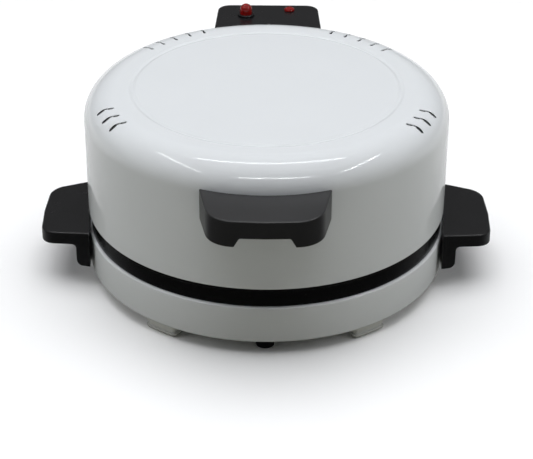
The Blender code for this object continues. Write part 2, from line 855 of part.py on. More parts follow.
def foot_outline():
    """The foot from above, with X outward from the drum's axis. Its outer face follows the drum."""
    out, half = BODY_RADIUS - FOOT_WALL_INSET, FOOT_WIDTH / 2
    span = math.asin(half / out)
    face = arc((0, 0), out, -span, span, FOOT_FACE_STEPS)
    corners = [(out - FOOT_DEPTH, -half), face[0], face[-1], (out - FOOT_DEPTH, half)]
    inner_right, outer_right, outer_left, inner_left = [(*place, FOOT_CORNER) for place in corners]
    middle = [(*place, 0) for place in face[1:-1]]
    return rounded([inner_right, outer_right, *middle, outer_left, inner_left])


def make_feet(shell, cover):
    counter = FOOT_COUNTERBORE_DEPTH
    center = BODY_RADIUS - FOOT_WALL_INSET - FOOT_DEPTH / 2
    places = {
        "front_left": -FOOT_TURN,
        "front_right": FOOT_TURN,
        "rear_left": math.pi + FOOT_TURN,
        "rear_right": math.pi - FOOT_TURN,
    }
    for side, turn in places.items():
        frame = Matrix.Rotation(turn - math.pi / 2, 4, "Z")
        foot = extruded(f"foot_{side}", foot_outline(), 0, FOOT_HEIGHT, frame)
        for vertex in foot.data.vertices:
            if vertex.co.z < 0:
                vertex.co.x -= FOOT_TAPER * (vertex.co.x - center) / (FOOT_DEPTH / 2)
                vertex.co.y -= FOOT_TAPER * vertex.co.y / (FOOT_WIDTH / 2)
        round_edges(foot, FOOT_EDGE)
        middle = outward(turn) * center
        upright = Matrix.Translation(middle)
        recess = (FOOT_COUNTERBORE, -counter, 2 * counter, upright, SMALL_SIDES)
        cut(foot, rod(f"foot_counterbore_{side}", *recess))
        bore = (SCREW_HOLE, 0, FOOT_HEIGHT + OVERRUN, upright, SCREW_SIDES)
        cut(foot, rod(f"foot_bore_{side}", *bore))
        keep(foot, "white_plastic", BASE)
        seat = Matrix.Translation((middle.x, middle.y, counter - GAP))
        screw(f"foot_screw_{side}", seat, BASE)
        for name, sheet in (("shell", shell), ("cover", cover)):
            cut(sheet, screw_hole(f"foot_hole_{name}_{side}", seat))


def make_rubber_foot(shell, cover):
    hole = RUBBER_STEM_RADIUS + FOOT_HOLE_CLEARANCE
    stem_top = COVER_TOP + GAP
    bulb = stem_top + RUBBER_BULB_HEIGHT
    profile = [
        (0, bulb),
        (RUBBER_STEM_RADIUS, bulb),
        (RUBBER_BULB_RADIUS, stem_top),
        (RUBBER_STEM_RADIUS, stem_top),
        (RUBBER_STEM_RADIUS, FOOT_HEIGHT),
        (RUBBER_FOOT_RADIUS, FOOT_HEIGHT),
        (RUBBER_FOOT_RADIUS, FOOT_EDGE),
        (RUBBER_FOOT_RADIUS - FOOT_EDGE, 0),
        (0, 0),
    ]
    place = Matrix.Translation(outward(0) * (BODY_RADIUS - RUBBER_FOOT_INSET))
    keep(turned("front_rubber_foot", profile, SMALL_SIDES, place), "rubber", BASE)
    for name, sheet in (("shell", shell), ("cover", cover)):
        cut(sheet, rod(f"rubber_hole_{name}", hole, 0, bulb, place, SMALL_SIDES))


# Handles


def handle_outline(root, wall_width, end_width, end, corner, bow, inset):
    """The grip seen from above, reaching from the root towards -Y, drawn in by the inset."""
    wall, tip = wall_width / 2 - inset, end_width / 2 - inset
    front = end - inset
    radius = max(corner - inset, bow)
    return rounded(
        [
            (-wall, -root, 0),
            (-tip, -front + bow, radius),
            (0, -front, 0),
            (tip, -front + bow, radius),
            (wall, -root, 0),
        ]
    )


def slope_top(obj, drop, start, reach):
    """Lets the top fall evenly from the wall to the end of the grip."""
    for vertex in obj.data.vertices:
        if vertex.co.z > 0:
            vertex.co.z -= drop * (-vertex.co.y - start) / reach
    return obj


def make_lid_handle(lid_shell):
    top, bottom = LID_HANDLE_TOP, LID_HANDLE_TOP - LID_HANDLE_HEIGHT
    reach, shell = REAR_AND_FRONT_REACH, LID_HANDLE_SHELL
    sizes = (LID_HANDLE_WALL_WIDTH, LID_HANDLE_FRONT_WIDTH, BODY_RADIUS + reach)
    root = BODY_RADIUS - HANDLE_ROOT
    outline = handle_outline(root, *sizes, LID_HANDLE_CORNER, LID_HANDLE_BOW, 0)
    handle = extruded("lid_handle", outline, bottom, top)
    slope_top(handle, LID_HANDLE_SLOPE, BODY_RADIUS, reach)
    round_edges(handle, LID_HANDLE_EDGE)

    inside = handle_outline(root, *sizes, LID_HANDLE_CORNER, LID_HANDLE_BOW, shell)
    hollow = extruded("lid_handle_hollow", inside, bottom - OVERRUN, top - shell)
    slope_top(hollow, LID_HANDLE_SLOPE, BODY_RADIUS, reach)
    cut(hollow, drum_cutter("lid_handle_back", BODY_RADIUS + GAP + shell, LID_TOP))
    cut(handle, hollow)

    front = BODY_RADIUS + reach
    notch_top = bottom + LID_HANDLE_NOTCH_RISE
    notch = [
        (-LID_HANDLE_NOTCH_BOTTOM / 2, bottom - OVERRUN),
        (LID_HANDLE_NOTCH_BOTTOM / 2, bottom - OVERRUN),
        (LID_HANDLE_NOTCH_BOTTOM / 2, bottom),
        (LID_HANDLE_NOTCH_TOP / 2, notch_top),
        (-LID_HANDLE_NOTCH_TOP / 2, notch_top),
        (-LID_HANDLE_NOTCH_BOTTOM / 2, bottom),
    ]
    upright = Matrix.Rotation(math.pi / 2, 4, "X")
    depth = shell + LID_HANDLE_CORNER / 2
    cut(handle, extruded("lid_handle_notch", notch, front - depth, front + OVERRUN, upright))

    height = (top + notch_top) / 2 - shell
    for side, turn in (("left", -LID_HANDLE_SCREW_TURN), ("right", LID_HANDLE_SCREW_TURN)):
        frame = wall_screw(f"lid_handle_screw_{side}", turn, LID_INSIDE, height, LID)
        boss_length = BOSS_LENGTH + SCREW_RADIUS
        join(handle, rod(f"lid_handle_boss_{side}", BOSS_RADIUS, 0, boss_length, frame, SMALL_SIDES))
        cut(handle, screw_hole(f"lid_handle_bore_{side}", frame))
        cut(lid_shell, screw_hole(f"lid_handle_hole_{side}", frame))
    cut(handle, lid_cutter("lid_handle_seat"))
    return handle


def make_side_handle(name, turn, base_shell):
    """A grip on the base wall with a leg down the wall, hollow under the grip and in the leg."""
    top, bottom = SIDE_HANDLE_TOP, SIDE_HANDLE_BOTTOM
    reach, shell = SIDE_HANDLE_REACH, SIDE_HANDLE_SHELL
    root = BODY_RADIUS - SIDE_HANDLE_INNER
    end = BODY_RADIUS + reach
    leg_end = root + SIDE_HANDLE_LEG
    place = Matrix.Rotation(turn, 4, "Z")
    sizes = (SIDE_HANDLE_WALL_WIDTH, SIDE_HANDLE_END_WIDTH, end)
    outline = handle_outline(root, *sizes, SIDE_HANDLE_CORNER, SIDE_HANDLE_BOW, 0)
    handle = extruded(name, outline, bottom, top, place)
    slope_top(handle, SIDE_HANDLE_SLOPE, BODY_RADIUS, reach)
    round_edges(handle, SIDE_HANDLE_EDGE)

    width, corner = SIDE_HANDLE_WALL_WIDTH, SIDE_HANDLE_LEG_CORNER
    leg_heel = arc((leg_end - corner, bottom + corner), corner, -math.pi / 2, 0, CORNER_STEPS)
    far, under_lip = end + OVERRUN, []
    for radius in (leg_end, far):
        fall = SIDE_HANDLE_SLOPE * (radius - BODY_RADIUS) / reach
        under_lip.append((radius, top - SIDE_HANDLE_LIP - fall, SIDE_HANDLE_FILLET))
    under_lip[1] = (*under_lip[1][:2], 0)
    profile = [(leg_end - corner, bottom - OVERRUN), *leg_heel[:-1]]
    profile += rounded([(leg_end, bottom + corner, 0), *under_lip, (far, bottom - OVERRUN, 0)])
    cut(handle, extruded(f"{name}_under", profile, -width, width, standing_frame(turn)))

    inside = handle_outline(leg_end, *sizes, SIDE_HANDLE_CORNER, SIDE_HANDLE_BOW, shell)
    hollow = extruded(f"{name}_hollow", inside, bottom - OVERRUN, top - shell, place)
    slope_top(hollow, SIDE_HANDLE_SLOPE, BODY_RADIUS, reach)
    cut(handle, hollow)

    rib = SIDE_HANDLE_RIB / 2
    height = top - SIDE_HANDLE_SCREW_DROP - SIDE_HANDLE_LIP
    screw_y = (BODY_RADIUS + shell) * math.sin(SIDE_HANDLE_SCREW_TURN)
    pocket_low = -leg_end + shell
    pocket_high = -(BODY_RADIUS + GAP + shell)
    cheek = width / 2 - shell
    spans = ((-cheek, -screw_y - rib), (-screw_y + rib, screw_y - rib), (screw_y + rib, cheek))
    for i, (left, right) in enumerate(spans):
        low = (left, pocket_low, bottom - OVERRUN)
        high = (right, pocket_high, top - shell - SIDE_HANDLE_EDGE)
        pocket = box(f"{name}_pocket_{i + 1}", low, high)
        pocket.matrix_world = place @ pocket.matrix_basis
        cut(handle, pocket)

    for side, offset in (("front", -SIDE_HANDLE_SCREW_TURN), ("rear", SIDE_HANDLE_SCREW_TURN)):
        screw_turn = turn + math.copysign(offset, offset * math.sin(turn))
        frame = wall_screw(f"{name}_screw_{side}", screw_turn, BASE_INSIDE, height, BASE)
        cut(handle, screw_hole(f"{name}_bore_{side}", frame))
        cut(base_shell, screw_hole(f"{name}_hole_{side}", frame))
    cut(handle, drum_cutter(f"{name}_seat", BODY_RADIUS + GAP, RING_TOP))
    return handle


# Hinge


def pin_frame(x):
    return Matrix.Translation((x, HINGE_Y, HINGE_Z)) @ sideways_frame()


def make_bracket(name, ear_x, low, high, ear_low, ear_high, screws, inside, wall, carrier):
    """A plate bent to the drum's wall, with two ears that reach back to the pin."""
    steel = HINGE_STEEL
    near, far = BODY_RADIUS + GAP, BODY_RADIUS + GAP + steel
    half = math.asin((ear_x + BRACKET_MARGIN) / near)
    back = math.pi / 2
    plan = arc((0, 0), near, back - half, back + half, BRACKET_STEPS)
    plan += arc((0, 0), far, back + half, back - half, BRACKET_STEPS)
    bracket = extruded(name, plan, low, high)
    root = math.sqrt((near + steel / 2) ** 2 - ear_x**2)
    hub = arc((HINGE_Y, HINGE_Z), HUB_RADIUS, 0, 2 * math.pi, SMALL_SIDES)[:-1]
    outline = hull([(root, ear_low), (root, ear_high), *hub])
    for side, x in (("left", -ear_x), ("right", ear_x)):
        ear = extruded(f"{name}_ear_{side}", outline, x - steel / 2, x + steel / 2, sideways_frame())
        join(bracket, ear)
    hole = PIN_RADIUS + GAP
    cut(bracket, rod(f"{name}_pin_hole", hole, -2 * ear_x, 4 * ear_x, pin_frame(0), SMALL_SIDES))
    for i, (turn, height) in enumerate(screws):
        frame = wall_screw(f"{name}_screw_{i + 1}", math.pi + turn, inside, height, carrier)
        cut(bracket, screw_hole(f"{name}_bore_{i + 1}", frame))
        cut(wall, screw_hole(f"{name}_hole_{i + 1}", frame))
    return keep(bracket, "bright_steel", carrier)


def make_base_bracket(base_shell):
    low = BASE_BOTTOM + BASE_BRACKET_LOW
    high = low + BASE_BRACKET_HEIGHT
    middle = (low + high) / 2
    screws = ((-BRACKET_SCREW_TURN, middle), (BRACKET_SCREW_TURN, middle))
    ears = (high - BASE_EAR_HEIGHT, high)
    make_bracket("base_hinge_bracket", BASE_EAR_X, low, high, *ears, screws, BASE_INSIDE, base_shell, BASE)


def make_lid_bracket(lid_shell):
    low = HINGE_Z + LID_BRACKET_RISE
    high = low + LID_BRACKET_HEIGHT
    screws = ((0, low + LID_EAR_HEIGHT / 2), (0, high - LID_EAR_HEIGHT / 2))
    ears = (low, low + LID_EAR_HEIGHT)
    make_bracket("lid_hinge_bracket", LID_EAR_X, low, high, *ears, screws, LID_INSIDE, lid_shell, LID)


def make_pin():
    clip_inside = BASE_EAR_X + HINGE_STEEL / 2 + GAP
    end = clip_inside + PIN_CLIP_THICKNESS + PIN_END
    keep(rod("hinge_pin", PIN_RADIUS, -end, 2 * end, pin_frame(0), SMALL_SIDES), "bright_steel", BASE)
    inner, outer, half = PIN_RADIUS + GAP, PIN_CLIP_RADIUS, PIN_CLIP_THICKNESS / 2
    profile = [(inner, half), (outer, half), (outer, -half), (inner, -half)]
    for side, sign in (("left", -1), ("right", 1)):
        frame = pin_frame(sign * (clip_inside + half))
        keep(turned(f"pin_clip_{side}", profile, SMALL_SIDES, frame), "bright_steel", BASE)


def box_outline(root, width, end, corner, inset, taper=0):
    """A cover seen from above, reaching back from the root, with its two far corners rounded and
    each side drawn in by the taper."""
    half, far = width / 2 - inset, end - inset
    tip, radius = half - taper, corner - inset
    return rounded([(half, root, 0), (tip, far, radius), (-tip, far, radius), (-half, root, 0)])


def lid_cutter(name):
    """The lid's outer shape, a gap larger, to trim what sits on it."""
    edge = shoulder(BODY_RADIUS + GAP, LID_TOP + GAP, SHOULDER_RUN + GAP, SHOULDER_DROP + GAP)
    return turned(name, [(0, LID_TOP + GAP), *edge, (BODY_RADIUS + GAP, 0), (0, 0)])


def make_housing(lid_shell):
    low, high = HOUSING_BOTTOM, HOUSING_TOP
    root = BODY_RADIUS - HOUSING_ROOT
    sizes = (HOUSING_WIDTH, REAR_REACH, HOUSING_CORNER)
    outline = box_outline(root, *sizes, 0, HOUSING_TAPER)
    housing = extruded("hinge_housing", outline, low, high)
    round_edges(housing, HOUSING_EDGE)
    inside = box_outline(root - OVERRUN, *sizes, HOUSING_SHELL, HOUSING_TAPER)
    cut(housing, extruded("hinge_housing_hollow", inside, low - OVERRUN, high - HOUSING_SHELL))
    for name, x, y in LAMP_PLACES:
        place = Matrix.Translation((x, y, high))
        hole = LAMP_BARREL_RADIUS + GAP
        cut(housing, rod(f"{name}_hole", hole, -OVERRUN, 2 * OVERRUN, place, SMALL_SIDES))
    height = low + (high - low) * HOUSING_BOSS_SHARE
    boss_turn = math.asin((HOUSING_WIDTH / 2 - HOUSING_BOSS_INSET) / LID_INSIDE)
    for side, turn in (("left", math.pi + boss_turn), ("right", math.pi - boss_turn)):
        frame = wall_screw(f"hinge_housing_screw_{side}", turn, LID_INSIDE, height, LID)
        name, boss_length = f"hinge_housing_boss_{side}", BOSS_LENGTH + SCREW_RADIUS
        join(housing, rod(name, HOUSING_BOSS_RADIUS, 0, boss_length, frame, SMALL_SIDES))
        cut(housing, screw_hole(f"hinge_housing_bore_{side}", frame))
        cut(lid_shell, screw_hole(f"hinge_housing_wall_hole_{side}", frame))
    cut(housing, lid_cutter("hinge_housing_seat"))
    return housing


def make_hinge_cover():
    low, high = BASE_BOTTOM + HINGE_COVER_LIFT, HINGE_Z - HINGE_COVER_DROP
    end, shell = BODY_RADIUS + HINGE_COVER_REACH, HINGE_COVER_SHELL
    root = BODY_RADIUS - HANDLE_ROOT
    outline = box_outline(root, HINGE_COVER_WIDTH, end, HINGE_COVER_CORNER, 0)
    cover = extruded("base_hinge_cover", outline, low, high)
    inside = box_outline(root - OVERRUN, HINGE_COVER_WIDTH, end, HINGE_COVER_CORNER, shell)
    cut(cover, extruded("base_hinge_cover_hollow", inside, low + shell, high - shell))
    half = HINGE_STEEL / 2 + HINGE_COVER_SLOT_MARGIN
    for side, x in (("left", -BASE_EAR_X), ("right", BASE_EAR_X)):
        corner = (x - half, BODY_RADIUS - HANDLE_ROOT, high - HINGE_COVER_SLOT_DEPTH)
        opposite = (x + half, end + OVERRUN, high + OVERRUN)
        cut(cover, box(f"base_hinge_cover_slot_{side}", corner, opposite))
    cut(cover, drum_cutter("base_hinge_cover_seat", BODY_RADIUS + GAP, LID_TOP))
    return cover


# Lid


def make_lid_shell():
    out, low, high, sheet = BODY_RADIUS, LID_BOTTOM, LID_TOP, LID_SHEET
    groove = out - SHOULDER_RUN - GROOVE_INSET
    wide, bed = GROOVE_WIDTH / 2, GROOVE_BED / 2
    run, drop = SHOULDER_RUN - sheet, SHOULDER_DROP - sheet
    inside = shoulder(out - sheet, high - sheet, run, drop, INNER_SHOULDER_STEPS)
    profile = [
        (0, high),
        (groove - wide, high),
        (groove - bed, high - GROOVE_DEPTH),
        (groove + bed, high - GROOVE_DEPTH),
        (groove + wide, high),
        *shoulder(out, high, SHOULDER_RUN, SHOULDER_DROP),
        (out, low + LID_HEM_EDGE),
        (out - LID_HEM_EDGE, low),
        (out - sheet - LID_HEM, low),
        (out - sheet - LID_HEM, low + sheet),
        (out - sheet, low + sheet),
        *inside[::-1],
        (0, high - sheet),
    ]
    lid = turned("lid_shell", profile)
    for side, sign in (("right", 1), ("left", -1)):
        groups = (
            (VENT_FRONT_TURNS, VENT_FRONT_INSET, VENT_FRONT_DRIFT),
            (VENT_REAR_TURNS, VENT_REAR_INSET, VENT_REAR_DRIFT),
        )
        vents = [(turn, inset, drift) for turns, inset, drift in groups for turn in turns]
        for i, (turn, inset, drift) in enumerate(vents):
            outline = vent_outline(sign * drift)
            inner = BODY_RADIUS - inset - VENT_LENGTH
            frame = Matrix.Rotation(sign * turn - math.pi / 2, 4, "Z") @ Matrix.Translation((inner, 0, 0))
            low_end, high_end = LID_TOP - SHOULDER_DROP, LID_TOP + OVERRUN
            cut(lid, extruded(f"vent_{side}_{i + 1}", outline, low_end, high_end, frame))
    return lid


def vent_outline(drift):
    """A slot that is widest near its ends. Its inner part bends forward by the drift."""
    upper, lower = [], []
    for share, side, width in zip(VENT_STATION_SHARES, VENT_DRIFT_SHARES, VENT_WIDTH_SHARES):
        x = share * VENT_LENGTH
        y = -drift * side
        upper.append((x, y + width * VENT_HALF_WIDTH))
        lower.append((x, y - width * VENT_HALF_WIDTH))
    return lower + upper[::-1]


def make_liner(heater):
    out, top, sheet, corner = LINER_RADIUS, LINER_TOP, LINER_SHEET, LINER_CORNER
    flange = LID_INSIDE - GAP
    outer = arc((out - corner, top - corner), corner, math.pi / 2, 0, LINER_CORNER_STEPS)
    inner = arc((out - corner, top - corner), corner - sheet, 0, math.pi / 2, LINER_CORNER_STEPS)
    profile = [
        (0, top),
        *outer,
        (out, LINER_BOTTOM + sheet),
        (flange, LINER_BOTTOM + sheet),
        (flange, LINER_BOTTOM),
        (out - sheet, LINER_BOTTOM),
        *inner,
        (0, top - sheet),
    ]
    liner = turned("lid_liner", profile)
    heater_holes("liner_hole", liner, heater)
    return liner


def make_pad():
    low, high = LINER_TOP + GAP, LID_TOP - LID_SHEET - GAP
    profile = [(PAD_HOLE, high), (PAD_RADIUS, high), (PAD_RADIUS, low), (PAD_HOLE, low)]
    return turned("insulation_pad", profile, SMALL_SIDES)


# Pilot lamps

LAMP_PLACES = (
    ("power_lamp", POWER_LAMP_X, REAR_REACH - POWER_LAMP_BACK),
    ("ready_lamp", READY_LAMP_X, REAR_REACH - READY_LAMP_BACK),
)


def make_power_lamp(x, y):
    seat = HOUSING_TOP + GAP
    barrel_end = -LAMP_BARREL_LENGTH
    recess = BEZEL_HEIGHT - BEZEL_RECESS
    bezel = [
        (0, recess),
        (LENS_RADIUS + GAP, recess),
        (LENS_RADIUS + GAP, BEZEL_HEIGHT),
        (BEZEL_RADIUS, BEZEL_HEIGHT),
        (BEZEL_RADIUS, 0),
        (LAMP_BARREL_RADIUS, 0),
        (LAMP_BARREL_RADIUS, barrel_end),
        (0, barrel_end),
    ]
    place = Matrix.Translation((x, y, seat))
    keep(turned("power_lamp_bezel", bezel, SMALL_SIDES, place), "black_moulding", LID)
    dome = arc((0, DOME_WALL), LENS_RADIUS, math.pi / 2, 0, DOME_STEPS)
    dome[0] = (0, DOME_WALL + LENS_RADIUS)
    lens_place = Matrix.Translation((x, y, seat + recess + GAP))
    lens = turned("power_lamp_lens", [*dome, (LENS_RADIUS, 0), (0, 0)], SMALL_SIDES, lens_place)
    keep(lens, "red_lens", LID)


def make_ready_lamp(x, y):
    flange = READY_FLANGE_HEIGHT
    profile = [
        (0, flange + READY_CROWN),
        (READY_CROWN_RADIUS, flange + READY_CROWN),
        (READY_RADIUS, flange),
        (READY_RADIUS, 0),
        (LAMP_BARREL_RADIUS, 0),
        (LAMP_BARREL_RADIUS, -LAMP_BARREL_LENGTH),
        (0, -LAMP_BARREL_LENGTH),
    ]
    place = Matrix.Translation((x, y, HOUSING_TOP + GAP))
    keep(turned("ready_lamp_lens", profile, SMALL_SIDES, place), "red_lens", LID)


def make_lamp_nut(name, x, y):
    hole = (LAMP_BARREL_RADIUS + GAP) / math.cos(math.pi / HEX_SIDES)
    high = HOUSING_TOP - HOUSING_SHELL - GAP
    low = high - LAMP_NUT_HEIGHT
    profile = [(hole, high), (LAMP_NUT_RADIUS, high), (LAMP_NUT_RADIUS, low), (hole, low)]
    keep(turned(name, profile, HEX_SIDES, Matrix.Translation((x, y, 0))), "zinc_steel", LID)


def make_gland(base_shell):
    height = BASE_BOTTOM + BASE_HEIGHT * GLAND_HEIGHT_SHARE
    frame = radial_frame(GLAND_TURN, BODY_RADIUS + GAP, height)
    profile = [
        (GLAND_BORE, GLAND_FLANGE),
        (GLAND_FLANGE_RADIUS - GLAND_FLANGE / 2, GLAND_FLANGE),
        (GLAND_FLANGE_RADIUS, GLAND_FLANGE / 2),
        (GLAND_FLANGE_RADIUS, 0),
        (GLAND_BARREL_RADIUS, 0),
        (GLAND_BARREL_RADIUS, -GLAND_BARREL_LENGTH),
        (GLAND_BORE, -GLAND_BARREL_LENGTH),
    ]
    keep(turned("cord_gland", profile, SMALL_SIDES, frame), "rubber", BASE)
    hole, barrel = GLAND_BARREL_RADIUS + GAP, GLAND_BARREL_LENGTH
    cut(base_shell, rod("cord_gland_hole", hole, -barrel, 2 * barrel, frame, SMALL_SIDES))


def new_carrier(name, location):
    carrier = bpy.data.objects.new(name, None)
    carrier.location = location
    OVEN.objects.link(carrier)
    return carrier


def build_base():
    shell = make_base_shell()
    cover = make_bottom_cover()
    make_feet(shell, cover)
    make_rubber_foot(shell, cover)
    make_gland(shell)
    make_base_bracket(shell)
    make_pin()
    keep(make_hinge_cover(), "black_moulding", BASE)
    keep(make_side_handle("right_handle", math.pi / 2, shell), "black_moulding", BASE)
    keep(make_side_handle("left_handle", -math.pi / 2, shell), "black_moulding", BASE)
    keep(shell, "white_enamel", BASE)
    keep(cover, "zinc_steel", BASE)
    keep(make_rim_ring(), "black_enamel", BASE)
    keep(make_baking_plate(), "nonstick", BASE)

    reflector = make_reflector()
    heater_holes("reflector_hole", reflector, heater_path(LOWER_HEATER_Z, -HEATER_BEND - HEATER_TAIL))
    keep(reflector, "aluminised_sheet", BASE)
    keep(make_heater("lower_heater", LOWER_HEATER_Z, -HEATER_BEND - HEATER_TAIL), "heater_steel", BASE)
    seat = REFLECTOR_FLOOR + REFLECTOR_SHEET + GAP + CLIP_SHEET / 2
    make_clips("lower_clip", LOWER_HEATER_Z, seat, BASE)
    keep(make_thermostat(), "phenolic", BASE)
    keep(make_thermal_fuse(), "white_plastic", BASE)
    place = Matrix.Translation((0, BLOCK_Y, COVER_TOP + GAP))
    keep(make_terminal_block("terminal_block", place), "white_plastic", BASE)


def build_lid():
    shell = make_lid_shell()
    keep(make_lid_handle(shell), "black_moulding", LID)
    keep(make_housing(shell), "black_moulding", LID)
    make_lid_bracket(shell)
    keep(shell, "white_enamel", LID)

    tail = HEATER_BEND + HEATER_TAIL
    keep(make_liner(heater_path(UPPER_HEATER_Z, tail)), "aluminised_sheet", LID)
    keep(make_pad(), "glass_wool", LID)
    keep(make_heater("upper_heater", UPPER_HEATER_Z, tail), "heater_steel", LID)
    make_clips("upper_clip", UPPER_HEATER_Z, LINER_TOP - LINER_SHEET - GAP - CLIP_SHEET / 2, LID)
    for name, x, y in LAMP_PLACES:
        make_lamp_nut(f"{name}_nut", x, y)
    make_power_lamp(*LAMP_PLACES[0][1:])
    make_ready_lamp(*LAMP_PLACES[1][1:])
    height = (HOUSING_BOTTOM + LID_BRACKET_HEIGHT + HOUSING_TOP) / 2
    place = radial_frame(math.pi, BODY_RADIUS + 2 * GAP, height)
    keep(make_terminal_block("lid_terminal_block", place), "white_plastic", LID)


clear_scene()
OVEN = new_collection("pizza_oven")
CUTTERS = new_collection("cutters")
CUTTERS.hide_render = True
BASE = new_carrier("base", (0, 0, 0))
LID = new_carrier("lid", (0, HINGE_Y, HINGE_Z))
bpy.context.view_layer.update()
build_base()
build_lid()
bpy.context.view_layer.update()
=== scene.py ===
# Looks for a round countertop pizza oven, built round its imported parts
import math

import bmesh
import bpy
from mathutils import Matrix, Quaternion, Vector


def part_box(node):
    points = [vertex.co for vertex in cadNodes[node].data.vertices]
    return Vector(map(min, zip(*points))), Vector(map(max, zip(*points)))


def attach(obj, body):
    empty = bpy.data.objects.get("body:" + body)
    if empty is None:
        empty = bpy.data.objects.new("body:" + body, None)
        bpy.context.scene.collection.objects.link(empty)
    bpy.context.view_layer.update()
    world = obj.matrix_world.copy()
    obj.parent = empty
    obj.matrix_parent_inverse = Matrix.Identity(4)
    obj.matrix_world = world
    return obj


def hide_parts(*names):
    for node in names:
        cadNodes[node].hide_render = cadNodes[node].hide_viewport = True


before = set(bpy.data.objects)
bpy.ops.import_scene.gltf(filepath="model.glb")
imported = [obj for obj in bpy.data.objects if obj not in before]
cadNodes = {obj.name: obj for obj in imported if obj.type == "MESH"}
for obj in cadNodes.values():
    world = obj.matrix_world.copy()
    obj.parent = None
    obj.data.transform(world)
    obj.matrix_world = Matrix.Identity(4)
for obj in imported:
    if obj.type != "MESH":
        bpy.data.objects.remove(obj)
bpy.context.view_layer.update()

mm = 0.001
gap = 0.3 * mm  # air between two pieces
overrun = 6 * mm  # how far a cutter passes its piece
weld = 0.001 * mm  # points closer than this are one

# Heights and radii that several pieces share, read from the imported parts
lidLow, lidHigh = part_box("lid_shell")
baseLow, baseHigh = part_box("base_shell")
ringLow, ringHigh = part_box("rim_ring")
pinLow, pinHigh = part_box("hinge_pin")
lidTop, lidBottom, bodyRadius = lidHigh.z, lidLow.z, lidHigh.x
hinge = (pinLow + pinHigh) / 2


# Small tools

def linear(code):  # an sRGB hex colour as the linear values that the shaders take
    parts = [int(code[i:i + 2], 16) / 255 for i in (1, 3, 5)]
    return (*[c / 12.92 if c <= 0.04045 else ((c + 0.055) / 1.055) ** 2.4 for c in parts], 1.0)


def addNode(tree, kind, inputs, **settings):
    node = tree.nodes.new(kind)
    for name, value in settings.items():
        setattr(node, name, value)
    for name, value in inputs.items():
        if isinstance(value, bpy.types.NodeSocket):
            tree.links.new(value, node.inputs[name])
        else:
            node.inputs[name].default_value = value
    return node


def startMaterial(name, sockets):
    material = bpy.data.materials.new(name)
    material.use_nodes = True
    tree = material.node_tree
    shader = tree.nodes["Principled BSDF"]
    for socket, value in sockets.items():
        shader.inputs[socket].default_value = value
    place = addNode(tree, "ShaderNodeTexCoord", {}).outputs["Object"]
    return material, tree, shader, place


def addObject(name, data):
    thing = bpy.data.objects.new(name, data)
    bpy.context.scene.collection.objects.link(thing)
    return thing


def meshPiece(name, points, faces, place=None):
    mesh = bpy.data.meshes.new(name)
    mesh.from_pydata([tuple(p) for p in points], [], faces)
    shape = bmesh.new()
    shape.from_mesh(mesh)
    bmesh.ops.remove_doubles(shape, verts=shape.verts, dist=weld)
    bmesh.ops.recalc_face_normals(shape, faces=shape.faces)
    shape.to_mesh(mesh)
    shape.free()
    if place is not None:
        mesh.transform(place)
    return addObject(name, mesh)


def turned(name, profile, sides, place=None):  # a (radius, height) profile turned about Z
    points, faces = [], []
    count = len(profile)
    for i in range(sides):
        angle = 2 * math.pi * i / sides
        points += [(r * math.cos(angle), r * math.sin(angle), z) for r, z in profile]
    onAxis = profile[0][0] == 0 and profile[-1][0] == 0
    for i in range(sides):
        here, ahead = i * count, (i + 1) % sides * count
        for j in range(count - 1 if onAxis else count):  # a profile off the axis is closed on itself
            k = (j + 1) % count
            faces.append((here + j, ahead + j, ahead + k, here + k))
    return meshPiece(name, points, faces, place)


def loft(name, rings, place=None):  # rings with the same number of points, capped at both ends
    count = len(rings[0])
    points = [p for ring in rings for p in ring]
    faces = [tuple(range(count)), tuple(range(len(points) - count, len(points)))]
    for i in range(len(rings) - 1):
        for j in range(count):
            k = (j + 1) % count
            faces.append((i * count + j, i * count + k, (i + 1) * count + k, (i + 1) * count + j))
    return meshPiece(name, points, faces, place)


def softened(corners, steps=8):  # (x, y, radius) corners, each with an arc of its radius
    outline = []
    count = len(corners)
    for i, (x, y, radius) in enumerate(corners):
        if not radius:
            outline.append((x, y))
            continue
        here = Vector((x, y))
        back = (Vector(corners[i - 1][:2]) - here).normalized()
        ahead = (Vector(corners[(i + 1) % count][:2]) - here).normalized()
        half = back.angle(ahead) / 2
        center = here + (back + ahead).normalized() * (radius / math.sin(half))
        first = here + back * (radius / math.tan(half)) - center
        last = here + ahead * (radius / math.tan(half)) - center
        start = math.atan2(first.y, first.x)
        sweep = math.atan2(first.x * last.y - first.y * last.x, first.dot(last))
        for j in range(steps + 1):
            a = start + sweep * j / steps
            outline.append((center.x + radius * math.cos(a), center.y + radius * math.sin(a)))
    return outline


def prism(name, outline, low, high, place=None):
    return loft(name, [[(x, y, z) for x, y in outline] for z in (low, high)], place)


def bar(name, low, high, place=None):  # a straight block, used only to cut
    outline = [(low[0], low[1]), (high[0], low[1]), (high[0], high[1]), (low[0], high[1])]
    return prism(name, outline, low[2], high[2], place)


def carve(piece, tools, operation="DIFFERENCE"):
    for tool in tools:
        modifier = piece.modifiers.new(tool.name, "BOOLEAN")
        modifier.operation = operation
        modifier.solver = "EXACT"
        modifier.object = tool
    bpy.context.view_layer.update()
    graph = bpy.context.evaluated_depsgraph_get()
    mesh = bpy.data.meshes.new_from_object(piece.evaluated_get(graph))
    piece.modifiers.clear()
    old = piece.data
    piece.data = mesh
    bpy.data.meshes.remove(old)
    for tool in tools:
        bpy.data.objects.remove(tool)


def outward(angle):  # away from the middle, turned from the front towards +X
    return Vector((math.sin(angle), -math.cos(angle), 0))


def wallPlace(angle, radius, height):  # a place on the drum whose Z points outward and Y up
    out, up = outward(angle), Vector((0, 0, 1))
    place = Matrix((up.cross(out), up, out)).transposed().to_4x4()
    place.translation = out * radius + up * height
    return place


